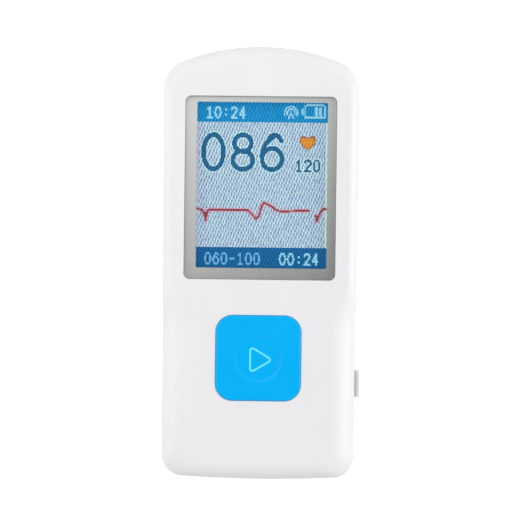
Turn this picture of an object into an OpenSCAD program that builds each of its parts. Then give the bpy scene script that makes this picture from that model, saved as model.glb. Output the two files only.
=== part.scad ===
// Handheld single-lead heart monitor, lying on its back.
// +Z is the way the display faces, +Y points to the domed crown and +X is the socket side.
// The origin is the middle of the flat rear face. All sizes are millimetres.

/* [Body] */
// Width at the shoulders
body_w = 45.3; // [44:0.1:60]
// Width at the foot
foot_w = 44.5; // [43:0.1:58]
// Length from foot to crown
body_l = 100; // [99:1:130]
// Thickness from the rear face to the front face
body_t = 15; // [13.5:0.5:20]
// Radius of the domed crown
crown_r = 50; // [45:1:90]
// Radius of the shoulder corners
shoulder_r = 7; // [3:0.5:9]
// Radius of the slightly bowed foot
foot_r = 340; // [200:10:600]
// Radius of the foot corners
foot_corner_r = 4.9; // [3:0.1:6]
// Height of the seam between the two covers
seam_z = 7.6; // [5:0.1:9]
// Shadow gap that shows at the seam
seam_gap = 0.15; // [0.05:0.05:0.3]

/* [Edges] */
// How far the front edge rolls in beside the display
edge_in = 2.4; // [2.2:0.1:3]
// How deep that roll is
edge_deep = 2.6; // [2.3:0.1:3]
// How far the front edge rolls in along the grip
grip_in = 6; // [3:0.1:7]
// How deep that roll is
grip_deep = 4.6; // [2.5:0.1:5]
// How far the front edge rolls in at the crown
crown_in = 3; // [2.3:0.1:4]
// How far the front edge rolls in at the foot
foot_in = 3.8; // [2.3:0.1:5]
// Where the grip's broad roll starts, from the crown
grip_start = 55; // [52:0.5:60]
// Length over which the edge changes to the broad roll
grip_blend = 10; // [6:0.5:16]
// How far the rear edge rolls in
rear_in = 3.2; // [2:0.1:4]
// How deep the rear roll is
rear_deep = 3; // [2:0.1:4]

/* [Walls] */
// Wall of the covers
wall = 1.8; // [1.4:0.1:2.2]
// Wall of the rear face
rear_wall = 1.6; // [1.4:0.1:2.2]
// Height of the rear cover's tongue above the seam
tongue_h = 1.1; // [0.6:0.1:1.5]
// Thickness of the tongue
tongue_t = 0.75; // [0.5:0.05:0.9]
// Clearance between pieces that fit into one another
fit_gap = 0.1; // [0.05:0.01:0.2]

/* [Display] */
// Width of the window
window_w = 34.7; // [30:0.1:36]
// Length of the window
window_l = 42; // [36:0.1:43]
// Corner radius of the window
window_r = 1.3; // [0.5:0.1:3]
// Thickness of the window
window_t = 1; // [0.8:0.1:1.5]
// How far the window lies below the front face
window_sunk = 0.15; // [0:0.05:0.4]
// Gap between the window and its pocket
window_gap = 0.15; // [0.1:0.05:0.4]
// From the crown to the window
window_from_crown = 11.7; // [10.5:0.1:12]
// Grey border at the window's left edge
border_left = 2.6; // [1.5:0.05:4]
// Grey border at the window's right edge
border_right = 1.95; // [1.5:0.05:4]
// Grey border at the window's top edge
border_top = 1.15; // [1:0.05:3]
// Grey border at the window's bottom edge
border_bottom = 2.55; // [1.5:0.05:4]
// Thickness of the ledge that carries the window
ledge_t = 0.9; // [0.7:0.1:1.2]
// Driver ledge of the display glass below the picture
driver_ledge = 4.2; // [3:0.1:4.2]

/* [Button] */
// Side of the square button
key_w = 19.6; // [14:0.1:24]
// Corner radius of the button
key_r = 3.9; // [2:0.1:5]
// How far the button stands above the front face
key_proud = 0.4; // [0.1:0.05:1]
// Gap around the button
key_gap = 0.1; // [0.1:0.05:0.4]
// From the foot to the middle of the button
key_from_foot = 28.2; // [26:0.1:30]
// Travel of the button
key_travel = 0.4; // [0.2:0.05:0.5]
// Radius of the finger dish
dish_r = 5.8; // [4:0.1:7]
// Depth of the finger dish
dish_deep = 0.35; // [0.1:0.05:0.5]

/* [Socket] */
// From the foot to the middle of the charging socket
port_from_foot = 22.3; // [20:0.1:30]
// Width of the socket's shell
port_w = 6.2; // [6:0.1:8]
// Height of the socket's shell
port_h = 2.6; // [2.2:0.1:3]
// Length of the socket's shell
port_l = 5.6; // [5:0.1:7]
// How far the socket stands out of the side
port_proud = 1.1; // [0.3:0.1:1.5]
// How much the mouth flares on each side
port_flare = 0.15; // [0:0.05:0.3]

/* [Inside] */
// Thickness of the circuit board
board_t = 1; // [0.8:0.1:1.6]
// Gap between the circuit board's edge and the wall
board_gap = 0.9; // [0.6:0.1:2]
// Width of the battery
battery_w = 28; // [20:0.5:28]
// Length of the battery
battery_l = 48; // [30:1:50]
// Free height between the battery and the circuit board
battery_room = 1; // [0.6:0.1:2]
// Width of the two palm electrodes
palm_w = 12; // [8:0.5:13]
// Length of the two palm electrodes
palm_l = 22; // [14:0.5:23]
// Width of the electrode at the crown end
chest_w = 24; // [16:0.5:25]
// Length of the electrode at the crown end
chest_l = 13; // [8:0.5:14]
// Shank radius of the cover screws
screw_r = 0.8; // [0.7:0.05:1]
// Shank radius of the board screws
board_screw_r = 0.6; // [0.5:0.05:0.8]

/* [Hidden] */
$fn = 48;
white = "#eceff2";
steel = "#c9ccd0";
chip_black = "#26282b";
over = 1;               // how far a cut runs past the face it opens
overlap = 0.3;          // how far joined solids run into one another
root = 0.5;             // how deep a column or rib stands in the wall it grows from
grip_slack = 0.05;      // round a screw or stud that the hole grips
pass_slack = 0.15;      // round a screw that passes through freely

half_w = body_w / 2;
half_l = body_l / 2;

// Places along the body
window_y = half_l - window_from_crown - window_l / 2;
key_y = key_from_foot - half_l;
port_y = port_from_foot - half_l;
view_w = window_w - border_left - border_right;
view_l = window_l - border_top - border_bottom;
view_x = (border_left - border_right) / 2;
view_y = window_y + (border_bottom - border_top) / 2;

// Heights, from the front face down to the circuit board
ink_t = 0.1;            // printed border behind the window
tape_t = 0.15;
gasket_t = 0.6;
sheet_t = 0.6;          // each of the two glass sheets
backlight_t = 1.8;
tray_floor = 0.6;
tray_wall = 0.7;
pad_t = 0.3;
window_z = body_t - window_sunk - window_t;
ledge_z = window_z - ink_t - tape_t - ledge_t;
glass_z = ledge_z - gasket_t - 2 * sheet_t;
backlight_z = glass_z - backlight_t;
tray_z = backlight_z - tray_floor;
board_z = tray_z - pad_t;                        // upper face of the circuit board
board_under = board_z - board_t;
ceiling_z = body_t - wall;                       // inner face of the front wall
view_gap = 0.3;         // the ledge's opening past the picture
view_r = 0.5;

// Button and switch
key_skirt = 1.6;        // wall of the hollow button
key_flange = 1;         // how far the flange reaches past the button
key_flange_t = 0.9;
key_edge_r = 0.6;
key_roof = 1.5;
key_post_r = 2;
flange_z = ceiling_z - fit_gap - key_flange_t;
guide_gap = 0.25;
guide_t = 1;
guide_z = flange_z - key_travel - 0.4;           // lower edge of the frame round the flange
switch_w = 6;
switch_h = 1.9;
plunger_r = 1.7;
plunger_up = 0.8;       // plunger above the switch body at rest
collar_r = 2.1;
collar_t = 0.3;
plunger_top = board_z + switch_h + plunger_up;
switch_roof = 0.35;     // frame over the collar
switch_floor = 0.6;
switch_slack = 0.1;     // round the plunger and its collar
switch_leg_y = 2.2;
collar_z = board_z + switch_h - switch_roof - collar_t - 0.05;
post_gap = 0.05;
key_rib_t = 1;

// Battery on the rear wall
battery_tape_t = 0.2;
battery_gap = 0.3;      // between the battery and the rib at each end
rib_t = 1.2;
rib_h = 1.5;
battery_z = rear_wall + battery_tape_t;
battery_t = board_under - battery_room - battery_z;

// Electrodes in the rear face
plate_t = 0.6;
plate_sunk = 0.1;
plate_gap = 0.1;
plate_r = 2.5;
stud_r = 1.5;
stud_top = 1;           // stud above the rear wall's inner face
washer_r = 3;
washer_t = 0.3;
palm_x = 9.5;
palm_y = 22 - half_l;
chest_y = half_l - 18;
palm_stud_y = palm_y - 6;
studs = [[0, chest_y], [-palm_x, palm_stud_y], [palm_x, palm_stud_y]];

// Screws
column_r = 2.4;
boss_r = 2.2;
head_r = 1.7;
head_h = 1.1;
counterbore_r = 1.9;
counterbore = 1.9;
screw_bite = 4;         // screw above the seam
blind_room = 0.5;       // free depth past a screw's end
crown_screws = [half_w - 8.6, half_l - 8.6];
foot_screws = [foot_w / 2 - 6.15, 8 - half_l];
cover_screw_places = [for (s = [-1, 1]) each [[s * crown_screws.x, crown_screws.y],
                                             [s * foot_screws.x, foot_screws.y]]];
board_boss_r = 2.1;
boss_floor = 0.6;       // plastic left under a board screw's hole
board_head_r = 1.4;
board_head_h = 0.9;
board_bite = 3;         // board screw below the board
column_room = 0.4;      // between a screw column and the circuit board
board_low = foot_screws.y + column_r + column_room;
board_high = crown_screws.y - column_r - column_room;
board_half_w = half_at(board_low) - wall - board_gap;
tab_half_w = 6;
tab_high = half_l - 5.6;
board_screw_places = [[-board_half_w + 3, board_low + 4.2], [board_half_w - 3, board_low + 4.2],
                      [0, tab_high - 2.6]];

// ---------------------------------------------------------------- outlines

function mix(a, b, t) = a + (b - a) * t;
function ease(t) = let (c = min(max(t, 0), 1)) c * c * (3 - 2 * c);

// Half the width of the tapered outline at y
function half_at(y) = half_w * mix(foot_w / body_w, 1, (y + half_l) / body_l);

function arc(c, r, from, to, n) =
    [for (i = [0 : n - 1]) let (a = mix(from, to, i / n)) c + r * [cos(a), sin(a)]];

// Centres of the tangent arcs of the plan outline
crown_c = [0, half_l - crown_r];
shoulder_c = [half_w - shoulder_r,
              crown_c.y + sqrt(pow(crown_r - shoulder_r, 2) - pow(half_w - shoulder_r, 2))];
shoulder_a = atan2(shoulder_c.y - crown_c.y, shoulder_c.x);
foot_c = [0, foot_r - half_l];
corner_c = [half_w - foot_corner_r,
            foot_c.y - sqrt(pow(foot_r - foot_corner_r, 2) - pow(half_w - foot_corner_r, 2))];
corner_a = atan2(corner_c.y - foot_c.y, corner_c.x);
side_steps = 22;

// Right half of the outline at the seam, from the foot's middle to the crown's
right_half = concat(
    arc(foot_c, foot_r, -90, corner_a, 4),
    arc(corner_c, foot_corner_r, corner_a, 0, 6),
    [for (i = [0 : side_steps - 1]) [half_w, mix(corner_c.y, shoulder_c.y, i / side_steps)]],
    arc(shoulder_c, shoulder_r, 0, shoulder_a, 6),
    arc(crown_c, crown_r, shoulder_a, 90, 6),
    [[0, half_l]]);
last = len(right_half) - 1;
untapered = concat(right_half, [for (i = [last - 1 : -1 : 1]) [-right_half[i].x, right_half[i].y]]);
outline = [for (p = untapered) [p.x * half_at(p.y) / half_w, p.y]];

// The outline drawn in by dx at the sides and dy at the ends
function drawn_in(p, dx, dy) = [p.x * (1 - dx / half_w), p.y * (1 - dy / half_l)];
function inset(d) = [for (p = outline) drawn_in(p, d, d)];

function rounded(w, l, r, n = 8) = [for (q = [0 : 3]) each
    let (sx = (q == 0 || q == 3) ? 1 : -1, sy = q < 2 ? 1 : -1)
    [for (i = [0 : n]) let (a = 90 * (q + i / n))
        [sx * (w / 2 - r) + r * cos(a), sy * (l / 2 - r) + r * sin(a)]]];

// ---------------------------------------------------------------- lofted skins

// 0 beside the display, 1 along the grip
function grip(y) = ease((half_l - grip_start - y) / grip_blend);

// One ring of the front skin: theta 0 is the side wall, 90 the front face
function front_ring(d, theta) = [for (p = outline)
    let (g = grip(p.y),
         across = mix(edge_in, grip_in, g) - d,
         along = (p.y > 0 ? crown_in : foot_in) - d,
         deep = mix(edge_deep, grip_deep, g) - d,
         q = drawn_in(p, d + across * (1 - cos(theta)), d + along * (1 - cos(theta))))
    [q.x, q.y, body_t - d - deep * (1 - sin(theta))]];

// One ring of the rear skin: theta 0 is the side wall, 90 the rear face
function rear_ring(d, floor_z, theta) = [for (p = outline)
    let (in = d + (rear_in - d) * (1 - cos(theta)), q = drawn_in(p, in, in))
    [q.x, q.y, floor_z + (rear_deep - d) * (1 - sin(theta))]];

function flat_ring(points, z) = [for (p = points) [p.x, p.y, z]];

// A closed skin through rings of equal count, lowest ring first
module loft(rings) {
    n = len(rings[0]);
    m = len(rings);
    walls = [for (j = [0 : m - 2], i = [0 : n - 1])
        let (a = j * n + i, b = j * n + (i + 1) % n) each [[a, a + n, b + n], [a, b + n, b]]];
    caps = [for (i = [0 : n - 1]) let (k = (i + 1) % n)
        each [[m * n, i, k], [m * n + 1, (m - 1) * n + k, (m - 1) * n + i]]];
    centres = [for (r = [rings[0], rings[m - 1]]) [0, 0, r[0].z]];
    polyhedron(points = concat([for (r = rings) each r], centres), faces = concat(walls, caps));
}

module prism(points, z, h) {
    translate([0, 0, z]) linear_extrude(h) polygon(points);
}

module block(x, y, z, w, l, h) {
    translate([x - w / 2, y - l / 2, z]) cube([w, l, h]);
}

module rod(x, y, z, r, h) {
    translate([x, y, z]) cylinder(r = r, h = h);
}

// ---------------------------------------------------------------- covers

// The opening in the side wall, with room around the socket's flared mouth
module port_cut(room = 0.3) {
    block(half_at(port_y), port_y, board_z - room / 2, 2 * (wall + 2.5),
          port_w + 2 * (port_flare + room), port_h + port_flare + 1.5 * room);
}

// The raised frame inside the front cover that carries the window's ledge
rim_side = 2.5;         // past the picture at its sides
rim_end = 2.3;          // and at its ends
rim_r = 2;
module window_rim() {
    translate([view_x, view_y])
        prism(rounded(view_w + 2 * rim_side, view_l + 2 * rim_end, rim_r), ledge_z,
              ceiling_z - ledge_z + overlap);
}

module front_cover() {
    color(white) difference() {
        union() {
            difference() {
                loft([flat_ring(inset(0), seam_z),
                      for (t = [0, 18, 36, 54, 72, 90]) front_ring(0, t)]);
                loft([flat_ring(inset(wall), seam_z - over),
                      for (t = [0, 30, 60, 90]) front_ring(wall, t)]);
            }
            window_rim();
            for (p = cover_screw_places)
                rod(p.x, p.y, seam_z, boss_r, ceiling_z - seam_z + overlap);
            translate([0, key_y])
                prism(rounded(guide_w() + 2 * guide_t, guide_w() + 2 * guide_t, key_r + 2),
                      guide_z, ceiling_z - guide_z + overlap);
        }
        prism(inset(wall - tongue_t - fit_gap), seam_z - over, over + tongue_h + fit_gap);
        translate([0, window_y])
            prism(rounded(window_w + 2 * window_gap, window_l + 2 * window_gap,
                          window_r + window_gap), ledge_z + ledge_t, body_t);
        translate([view_x, view_y])
            prism(rounded(view_w + 2 * view_gap, view_l + 2 * view_gap, view_r), ledge_z - over,
                  body_t);
        translate([0, key_y])
            prism(rounded(key_w + 2 * key_gap, key_w + 2 * key_gap, key_r + key_gap), 0,
                  body_t + over);
        translate([0, key_y])
            prism(rounded(guide_w(), guide_w(), key_r + 1), 0, ceiling_z);
        for (p = cover_screw_places)
            rod(p.x, p.y, 0, screw_r + grip_slack, seam_z + screw_bite + blind_room);
        port_cut();
    }
}

function guide_w() = key_w + 2 * (key_flange + guide_gap);

module rear_cover() {
    color(white) difference() {
        union() {
            difference() {
                loft([for (t = [90, 67.5, 45, 22.5, 0]) rear_ring(0, 0, t),
                      flat_ring(inset(0), seam_z - seam_gap)]);
                loft([for (t = [90, 60, 30, 0]) rear_ring(wall, rear_wall, t),
                      flat_ring(inset(wall), seam_z + over)]);
            }
            difference() {
                prism(inset(wall - tongue_t), seam_z - 2, 2 + tongue_h);
                prism(inset(wall), seam_z - 2 - over, 2 * over + 2 + tongue_h);
            }
            for (p = cover_screw_places)
                rod(p.x, p.y, rear_wall - root, column_r, seam_z - rear_wall + root);
            for (p = board_screw_places)
                rod(p.x, p.y, rear_wall - root, board_boss_r, board_under - rear_wall + root);
            for (s = [-1, 1])
                block(0, s * (battery_l / 2 + battery_gap + rib_t / 2), rear_wall - root, battery_w,
                      rib_t, rib_h + root);
        }
        for (p = cover_screw_places) {
            rod(p.x, p.y, -over, counterbore_r, counterbore + over);
            rod(p.x, p.y, 0, screw_r + pass_slack, seam_z + over);
        }
        for (p = board_screw_places)
            rod(p.x, p.y, rear_wall + boss_floor, board_screw_r + grip_slack, board_under);
        translate([0, chest_y]) plate_cut(chest_w, chest_l);
        for (s = [-1, 1]) translate([s * palm_x, palm_y]) plate_cut(palm_w, palm_l);
        for (p = studs) rod(p.x, p.y, 0, stud_r + grip_slack, rear_wall + over);
        port_cut();
    }
}

module plate_cut(w, l) {
    prism(rounded(w + 2 * plate_gap, l + 2 * plate_gap, plate_r + plate_gap), -over,
          over + plate_sunk + plate_t);
}

// ---------------------------------------------------------------- display

module display_window() {
    color([0.9, 0.93, 0.95, 0.3]) translate([0, window_y])
        prism(rounded(window_w, window_l, window_r), window_z, window_t);
}

// A flat frame around the picture: outer size and corner, width of the opening past the picture
module picture_frame(outer, x, y, past, z, t) {
    difference() {
        translate([x, y]) prism(outer, z, t);
        translate([view_x, view_y])
            prism(rounded(view_w + 2 * past, view_l + 2 * past, view_r), z - over, t + 2 * over);
    }
}

module window_border() {
    color("#b3b1ae") picture_frame(rounded(window_w, window_l, window_r), 0, window_y, 0,
                                   window_z - ink_t, ink_t);
}

tape_in = 0.2;          // the tape's edge inside the window's
module window_tape() {
    color("#3b3b3d") picture_frame(
        rounded(window_w - 2 * tape_in, window_l - 2 * tape_in, window_r), 0, window_y,
        view_gap, window_z - ink_t - tape_t, tape_t);
}

gasket_in = 0.4;        // the gasket's inner edge past the picture
gasket_out = 1;
module display_gasket() {
    color("#1f2023") picture_frame(
        rounded(view_w + 2 * gasket_out, view_l + 2 * gasket_out, view_r), view_x, view_y,
        gasket_in, ledge_z - gasket_t, gasket_t);
}

glass_side = 1.1;       // glass past the picture at its sides
glass_end = 1.2;        // and at its upper end
glass_w = view_w + 2 * glass_side;
glass_high = view_l / 2 + glass_end;        // glass above the picture's middle
glass_low = view_l / 2 + driver_ledge;

module display_glass() {
    color("#a9c4e6") {
        union() {
            translate([view_x - glass_w / 2, view_y - glass_low, glass_z])
                cube([glass_w, glass_high + glass_low, sheet_t]);
            translate([view_x - glass_w / 2, view_y - glass_high, glass_z + sheet_t])
                cube([glass_w, 2 * glass_high, sheet_t]);
        }
    }
}

module display_backlight() {
    color("#f4f4ee") translate([view_x - glass_w / 2, view_y - glass_low, backlight_z])
        cube([glass_w, glass_high + glass_low, backlight_t]);
}

tray_gap = 0.15;
flex_w = 18;
flex_room = 0.5;        // room beside the flat cable in the tray's slot
module display_tray() {
    tray_l = glass_high + glass_low + 2 * (tray_gap + tray_wall);
    tray_w = glass_w + 2 * (tray_gap + tray_wall);
    color("#8f9296") difference() {
        translate([view_x - tray_w / 2, tray_end, tray_z])
            cube([tray_w, tray_l, backlight_z - tray_z + backlight_t + sheet_t]);
        translate([view_x - glass_w / 2 - tray_gap, tray_end + tray_wall, backlight_z])
            cube([glass_w + 2 * tray_gap, tray_l - 2 * tray_wall, body_t]);
        translate([view_x - flex_w / 2 - flex_room, tray_end - over, backlight_z + 1])
            cube([flex_w + 2 * flex_room, tray_wall + 2 * over, body_t]);
    }
}

pad_in = 2;             // the pad's edge inside the glass
module display_pad() {
    color("#d8d2b8")
        block(view_x, view_y, board_z, glass_w - 2 * pad_in, view_l - 2 * pad_in, pad_t);
}

// The flat cable's path in the YZ plane, from the driver ledge down to its connector
// It drops midway between the tray and the frame that guides the button
flex_t = 0.15;
flex_bend = 0.7;
flex_top = glass_z + sheet_t + flex_t / 2;
flex_bonded = 1.6;      // cable lying on the driver ledge
flex_low = board_z + 0.6;
tray_end = view_y - glass_low - tray_gap - tray_wall;
drop_y = (tray_end + key_y + guide_w() / 2 + guide_t) / 2;
connector_y = drop_y - 1.8;                      // the connector's mouth
connector_l = 1.6;
connector_h = 1.1;
connector_end = 1.2;    // connector past the cable at each side
flex_path = concat(
    [[view_y - glass_low + flex_bonded, flex_top]],
    arc([drop_y + flex_bend, flex_top - flex_bend], flex_bend, 90, 180, 6),
    arc([drop_y - flex_bend, flex_low + flex_bend], flex_bend, 0, -90, 6),
    [[drop_y - flex_bend, flex_low], [connector_y, flex_low]]);

function turn_at(path, i) = let (a = path[max(i - 1, 0)], b = path[min(i + 1, len(path) - 1)],
    d = (b - a) / norm(b - a)) [-d.y, d.x];

module ribbon(path, t, w) {
    n = len(path);
    sides = concat([for (i = [0 : n - 1]) path[i] + t / 2 * turn_at(path, i)],
                   [for (i = [n - 1 : -1 : 0]) path[i] - t / 2 * turn_at(path, i)]);
    rotate([90, 0, 90]) translate([0, 0, -w / 2]) linear_extrude(w) polygon(sides);
}

module display_flex() {
    color("#c98a2b") translate([view_x, 0, 0]) ribbon(flex_path, flex_t, flex_w);
}

module flex_connector() {
    color("#e9e4d4") block(view_x, connector_y - connector_l / 2, board_z,
                           flex_w + 2 * connector_end, connector_l, connector_h);
}

// ---------------------------------------------------------------- button and switch

module measure_button() {
    top = body_t + key_proud;
    dome_r = (dish_r * dish_r + dish_deep * dish_deep) / (2 * dish_deep);
    color("#12aef5") translate([0, key_y]) {
        difference() {
            union() {
                loft([flat_ring(rounded(key_w, key_w, key_r), flange_z + key_flange_t / 2),
                      for (t = [0, 30, 60, 90]) let (d = key_edge_r * (1 - cos(t)))
                          flat_ring(rounded(key_w - 2 * d, key_w - 2 * d, key_r - d),
                                    top - key_edge_r * (1 - sin(t)))]);
                prism(rounded(key_w + 2 * key_flange, key_w + 2 * key_flange, key_r + 1),
                      flange_z, key_flange_t);
            }
            prism(rounded(key_w - 2 * key_skirt, key_w - 2 * key_skirt, key_r - 1),
                  flange_z - over, top - key_roof - flange_z + over);
            translate([0, 0, top - dish_deep + dome_r]) sphere(r = dome_r, $fn = 120);
        }
        rod(0, 0, plunger_top + post_gap, key_post_r,
            top - key_roof - plunger_top - post_gap + overlap);
        for (a = [0, 90]) rotate(a)
            block(0, 0, flange_z + overlap, key_w - 2 * key_skirt + 2 * overlap, key_rib_t,
                  top - key_roof - flange_z);
    }
}

module switch_body() {
    color("#34373a") difference() {
        union() {
            block(0, key_y, board_z, switch_w, switch_w, switch_h);
            for (sx = [-1, 1], sy = [-1, 1])
                block(sx * (switch_w / 2 + 0.5), key_y + sy * switch_leg_y, board_z, 1.4, 0.8, 0.25);
        }
        rod(0, key_y, board_z + switch_floor, collar_r + switch_slack,
            switch_h - switch_floor - switch_roof);
        rod(0, key_y, board_z + switch_floor, plunger_r + switch_slack, switch_h);
    }
}

module switch_plunger() {
    color("#d9cfae") {
        union() {
            rod(0, key_y, collar_z, plunger_r, plunger_top - collar_z);
            rod(0, key_y, collar_z, collar_r, collar_t);
        }
    }
}

// ---------------------------------------------------------------- circuit board

board_shape = [[-board_half_w, board_low], [board_half_w, board_low],
               [board_half_w, board_high], [tab_half_w, board_high], [tab_half_w, tab_high],
               [-tab_half_w, tab_high], [-tab_half_w, board_high], [-board_half_w, board_high]];

module circuit_board() {
    color("#1d6b45") difference() {
        prism(board_shape, board_under, board_t);
        for (p = board_screw_places)
            rod(p.x, p.y, board_under - over, board_screw_r + pass_slack, board_t + 2 * over);
    }
}

port_mouth = half_at(port_y) + port_proud;
port_back = port_mouth - port_l;
port_shell_t = 0.3;
flare_l = 0.5;
port_slant = 0.75;      // the slanted lower corners that let a plug in one way round
port_round = 0.35;
tongue_in = 1.2;        // the tongue's edge inside the shell's outline
tongue_back = 0.7;      // its tip behind the mouth
port_base_l = 1.2;      // plastic that closes the shell's rear end

// The socket's outline seen from its mouth: round upper corners and slanted lower ones.
// grow is the flare, and inner the wall where the outline is the hollow's.
function port_profile(grow, inner) =
    let (w = port_w / 2 + grow - inner, h = port_h + grow - inner, r = port_round) concat(
        [[port_slant - w, inner], [w - port_slant, inner], [w, inner + port_slant]],
        arc([w - r, h - r], r, 0, 90, 4),
        [[w - r, h]],
        arc([r - w, h - r], r, 90, 180, 4),
        [[-w, h - r], [-w, inner + port_slant]]);

module port_prism(x, l, grow, inner = 0) {
    translate([x, port_y, board_z]) rotate([90, 0, 90])
        linear_extrude(l) polygon(port_profile(grow, inner));
}

module port_shell() {
    color(steel) difference() {
        union() {
            port_prism(port_back, port_l, 0);
            hull() {
                port_prism(port_mouth - flare_l, 0.05, 0);
                port_prism(port_mouth - 0.1, 0.1, port_flare);
            }
        }
        port_prism(port_back + port_shell_t, port_l, 0, port_shell_t);
        hull() {
            port_prism(port_mouth - flare_l, 0.05, 0, port_shell_t);
            port_prism(port_mouth - 0.05, over, port_flare, port_shell_t);
        }
    }
}

module port_tongue() {
    inside = port_back + port_shell_t;
    tongue_w = port_w - 2 * tongue_in;
    color(chip_black) union() {
        translate([inside, port_y - tongue_w / 2, board_z + port_h / 2 + 0.1])
            cube([port_mouth - tongue_back - inside, tongue_w, 0.6]);
        port_prism(inside, port_base_l, 0, port_shell_t);
    }
}

// A flat square chip under the board with rows of legs along two sides
chip_gap = 0.1;         // between a chip's body and the board
leg_l = 0.8;
leg_t = 0.3;
module leaded_chip(x, y, w, h, legs) {
    translate([x, y]) {
        block(0, 0, board_under - chip_gap - h, w, w, h);
        for (s = [-1, 1], i = [0 : legs - 1])
            block(s * (w / 2 + leg_l / 4), (i + 0.5 - legs / 2) * w / (legs + 0.5),
                  board_under - leg_t, leg_l, 0.5 * w / (legs + 1), leg_t);
    }
}

chip_x = 10;            // the two chips stand on either side of the chest electrode's pin

module processor_chip() {
    color(chip_black) leaded_chip(-chip_x, chest_y, 7, 0.9, 8);
}

module heart_signal_chip() {
    color(chip_black) leaded_chip(chip_x, chest_y + 2, 5, 0.8, 6);
}

module charge_chip() {
    color(chip_black) leaded_chip(0, palm_stud_y, 3, 0.8, 3);
}

radio_w = 9;
radio_l = 8.5;
radio_t = 0.8;          // its own small board
radio_can = [radio_w - 1, radio_l - 2.5, 1.1];

module radio_module() {
    x = -board_half_w + 5.4 + radio_w / 2;
    y = board_low + 1 + radio_l / 2;
    color(steel) block(x, y, board_z + radio_t, radio_can.x, radio_can.y, radio_can.z);
    color("#1b3f63") block(x, y, board_z, radio_w, radio_l, radio_t);
}

module crystal() {
    color(steel) block(2, board_low + 5, board_z, 3.2, 2.5, 0.8);
}

// A row of count equal small parts on the board, each a step on from the one before
module part_row(start, step, count, size) {
    for (i = [0 : count - 1])
        block(start.x + i * step.x, start.y + i * step.y, board_z, size.x, size.y, size.z);
}

// Rows of small resistors and capacitors on the lower end of the board
module small_parts() {
    color("#8a6b4b") {
        part_row([6, board_low + 1.6], [1.8, 0], 5, [1, 0.6, 0.5]);
        part_row([-board_half_w + 2, key_y - 4], [0, 2.2], 5, [0.8, 1.3, 0.6]);
        part_row([5.5, key_y + 4.2], [0, -2], 4, [1.6, 0.9, 0.6]);
    }
}

// ---------------------------------------------------------------- battery

module battery_pack() {
    color("#b9bec6") prism(rounded(battery_w, battery_l, 1.5, 4), battery_z, battery_t);
}

battery_tape_in = [3, 4];           // the tape's edges inside the battery's

module battery_tape() {
    color("#f0eee6") block(0, 0, rear_wall, battery_w - 2 * battery_tape_in.x,
                           battery_l - 2 * battery_tape_in.y, battery_tape_t);
}

socket_x = 9.5;
socket_y = battery_l / 2 + 3.4;     // where the leads go in
socket_w = 4.4;
socket_l = 2.6;
socket_h = 2;
lead_r = 0.45;
lead_side = 1;          // each lead beside the socket's middle

module battery_socket() {
    color("#f1efe9") block(socket_x, socket_y + socket_l / 2, board_under - socket_h, socket_w,
                           socket_l, socket_h);
}

// A lead from the battery's end face to the socket, one round section at each step along Y
module lead(x, shade) {
    steps = 8;
    sides = 8;
    from = [x, battery_l / 2, battery_z + battery_t / 2];
    to = [x, socket_y, board_under - socket_h / 2];
    rings = [for (i = [0 : steps]) let (c = [x, mix(from.y, to.y, i / steps),
                                             mix(from.z, to.z, ease(i / steps))])
        [for (k = [0 : sides - 1]) c + lead_r * [cos(360 * k / sides), 0, -sin(360 * k / sides)]]];
    side_faces = [for (j = [0 : steps - 1], k = [0 : sides - 1])
        let (a = j * sides + k, b = j * sides + (k + 1) % sides)
        each [[a, b + sides, b], [a, a + sides, b + sides]]];
    ends = [[for (k = [0 : sides - 1]) k], [for (k = [sides - 1 : -1 : 0]) steps * sides + k]];
    color(shade) polyhedron(points = [for (r = rings) each r], faces = concat(side_faces, ends));
}

module battery_lead_red() {
    lead(socket_x - lead_side, "#c8322b");
}

module battery_lead_black() {
    lead(socket_x + lead_side, "#222222");
}

// ---------------------------------------------------------------- electrodes

module electrode(plate_at, stud_at, w, l) {
    color(steel) union() {
        translate(plate_at) prism(rounded(w, l, plate_r), plate_sunk, plate_t);
        rod(stud_at.x, stud_at.y, plate_sunk + plate_t / 2, stud_r,
            rear_wall + stud_top - plate_sunk - plate_t / 2);
    }
}

module electrode_chest() {
    electrode([0, chest_y], studs[0], chest_w, chest_l);
}

module electrode_left() {
    electrode([-palm_x, palm_y], studs[1], palm_w, palm_l);
}

module electrode_right() {
    electrode([palm_x, palm_y], studs[2], palm_w, palm_l);
}

module electrode_washers() {
    color(steel) for (p = studs) difference() {
        rod(p.x, p.y, rear_wall, washer_r, washer_t);
        rod(p.x, p.y, rear_wall - over, stud_r + grip_slack, washer_t + 2 * over);
    }
}

// Spring pins under the board, each resting on an electrode's stud
pin_r = 1;
pin_tip_r = 0.6;
module contact_pins() {
    tip = rear_wall + stud_top;
    barrel = (tip + board_under) / 2;
    color("#cfae5c") for (p = studs) union() {
        rod(p.x, p.y, tip, pin_tip_r, board_under - tip);
        rod(p.x, p.y, barrel, pin_r, board_under - barrel);
    }
}

// ---------------------------------------------------------------- screws

module cover_screws() {
    color(steel) for (p = cover_screw_places) union() {
        rod(p.x, p.y, counterbore - head_h, head_r, head_h);
        rod(p.x, p.y, counterbore - head_h / 2, screw_r, seam_z + screw_bite - counterbore);
    }
}

module board_screws() {
    color(steel) for (p = board_screw_places) union() {
        rod(p.x, p.y, board_z, board_head_r, board_head_h);
        rod(p.x, p.y, board_under - board_bite, board_screw_r,
            board_t + board_bite + board_head_h / 2);
    }
}

front_cover();
rear_cover();
display_window();
window_border();
window_tape();
display_gasket();
display_glass();
display_backlight();
display_tray();
display_pad();
display_flex();
flex_connector();
measure_button();
switch_body();
switch_plunger();
circuit_board();
port_shell();
port_tongue();
processor_chip();
heart_signal_chip();
charge_chip();
radio_module();
crystal();
small_parts();
battery_pack();
battery_tape();
battery_socket();
battery_lead_red();
battery_lead_black();
electrode_chest();
electrode_left();
electrode_right();
electrode_washers();
contact_pins();
cover_screws();
board_screws();
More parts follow.
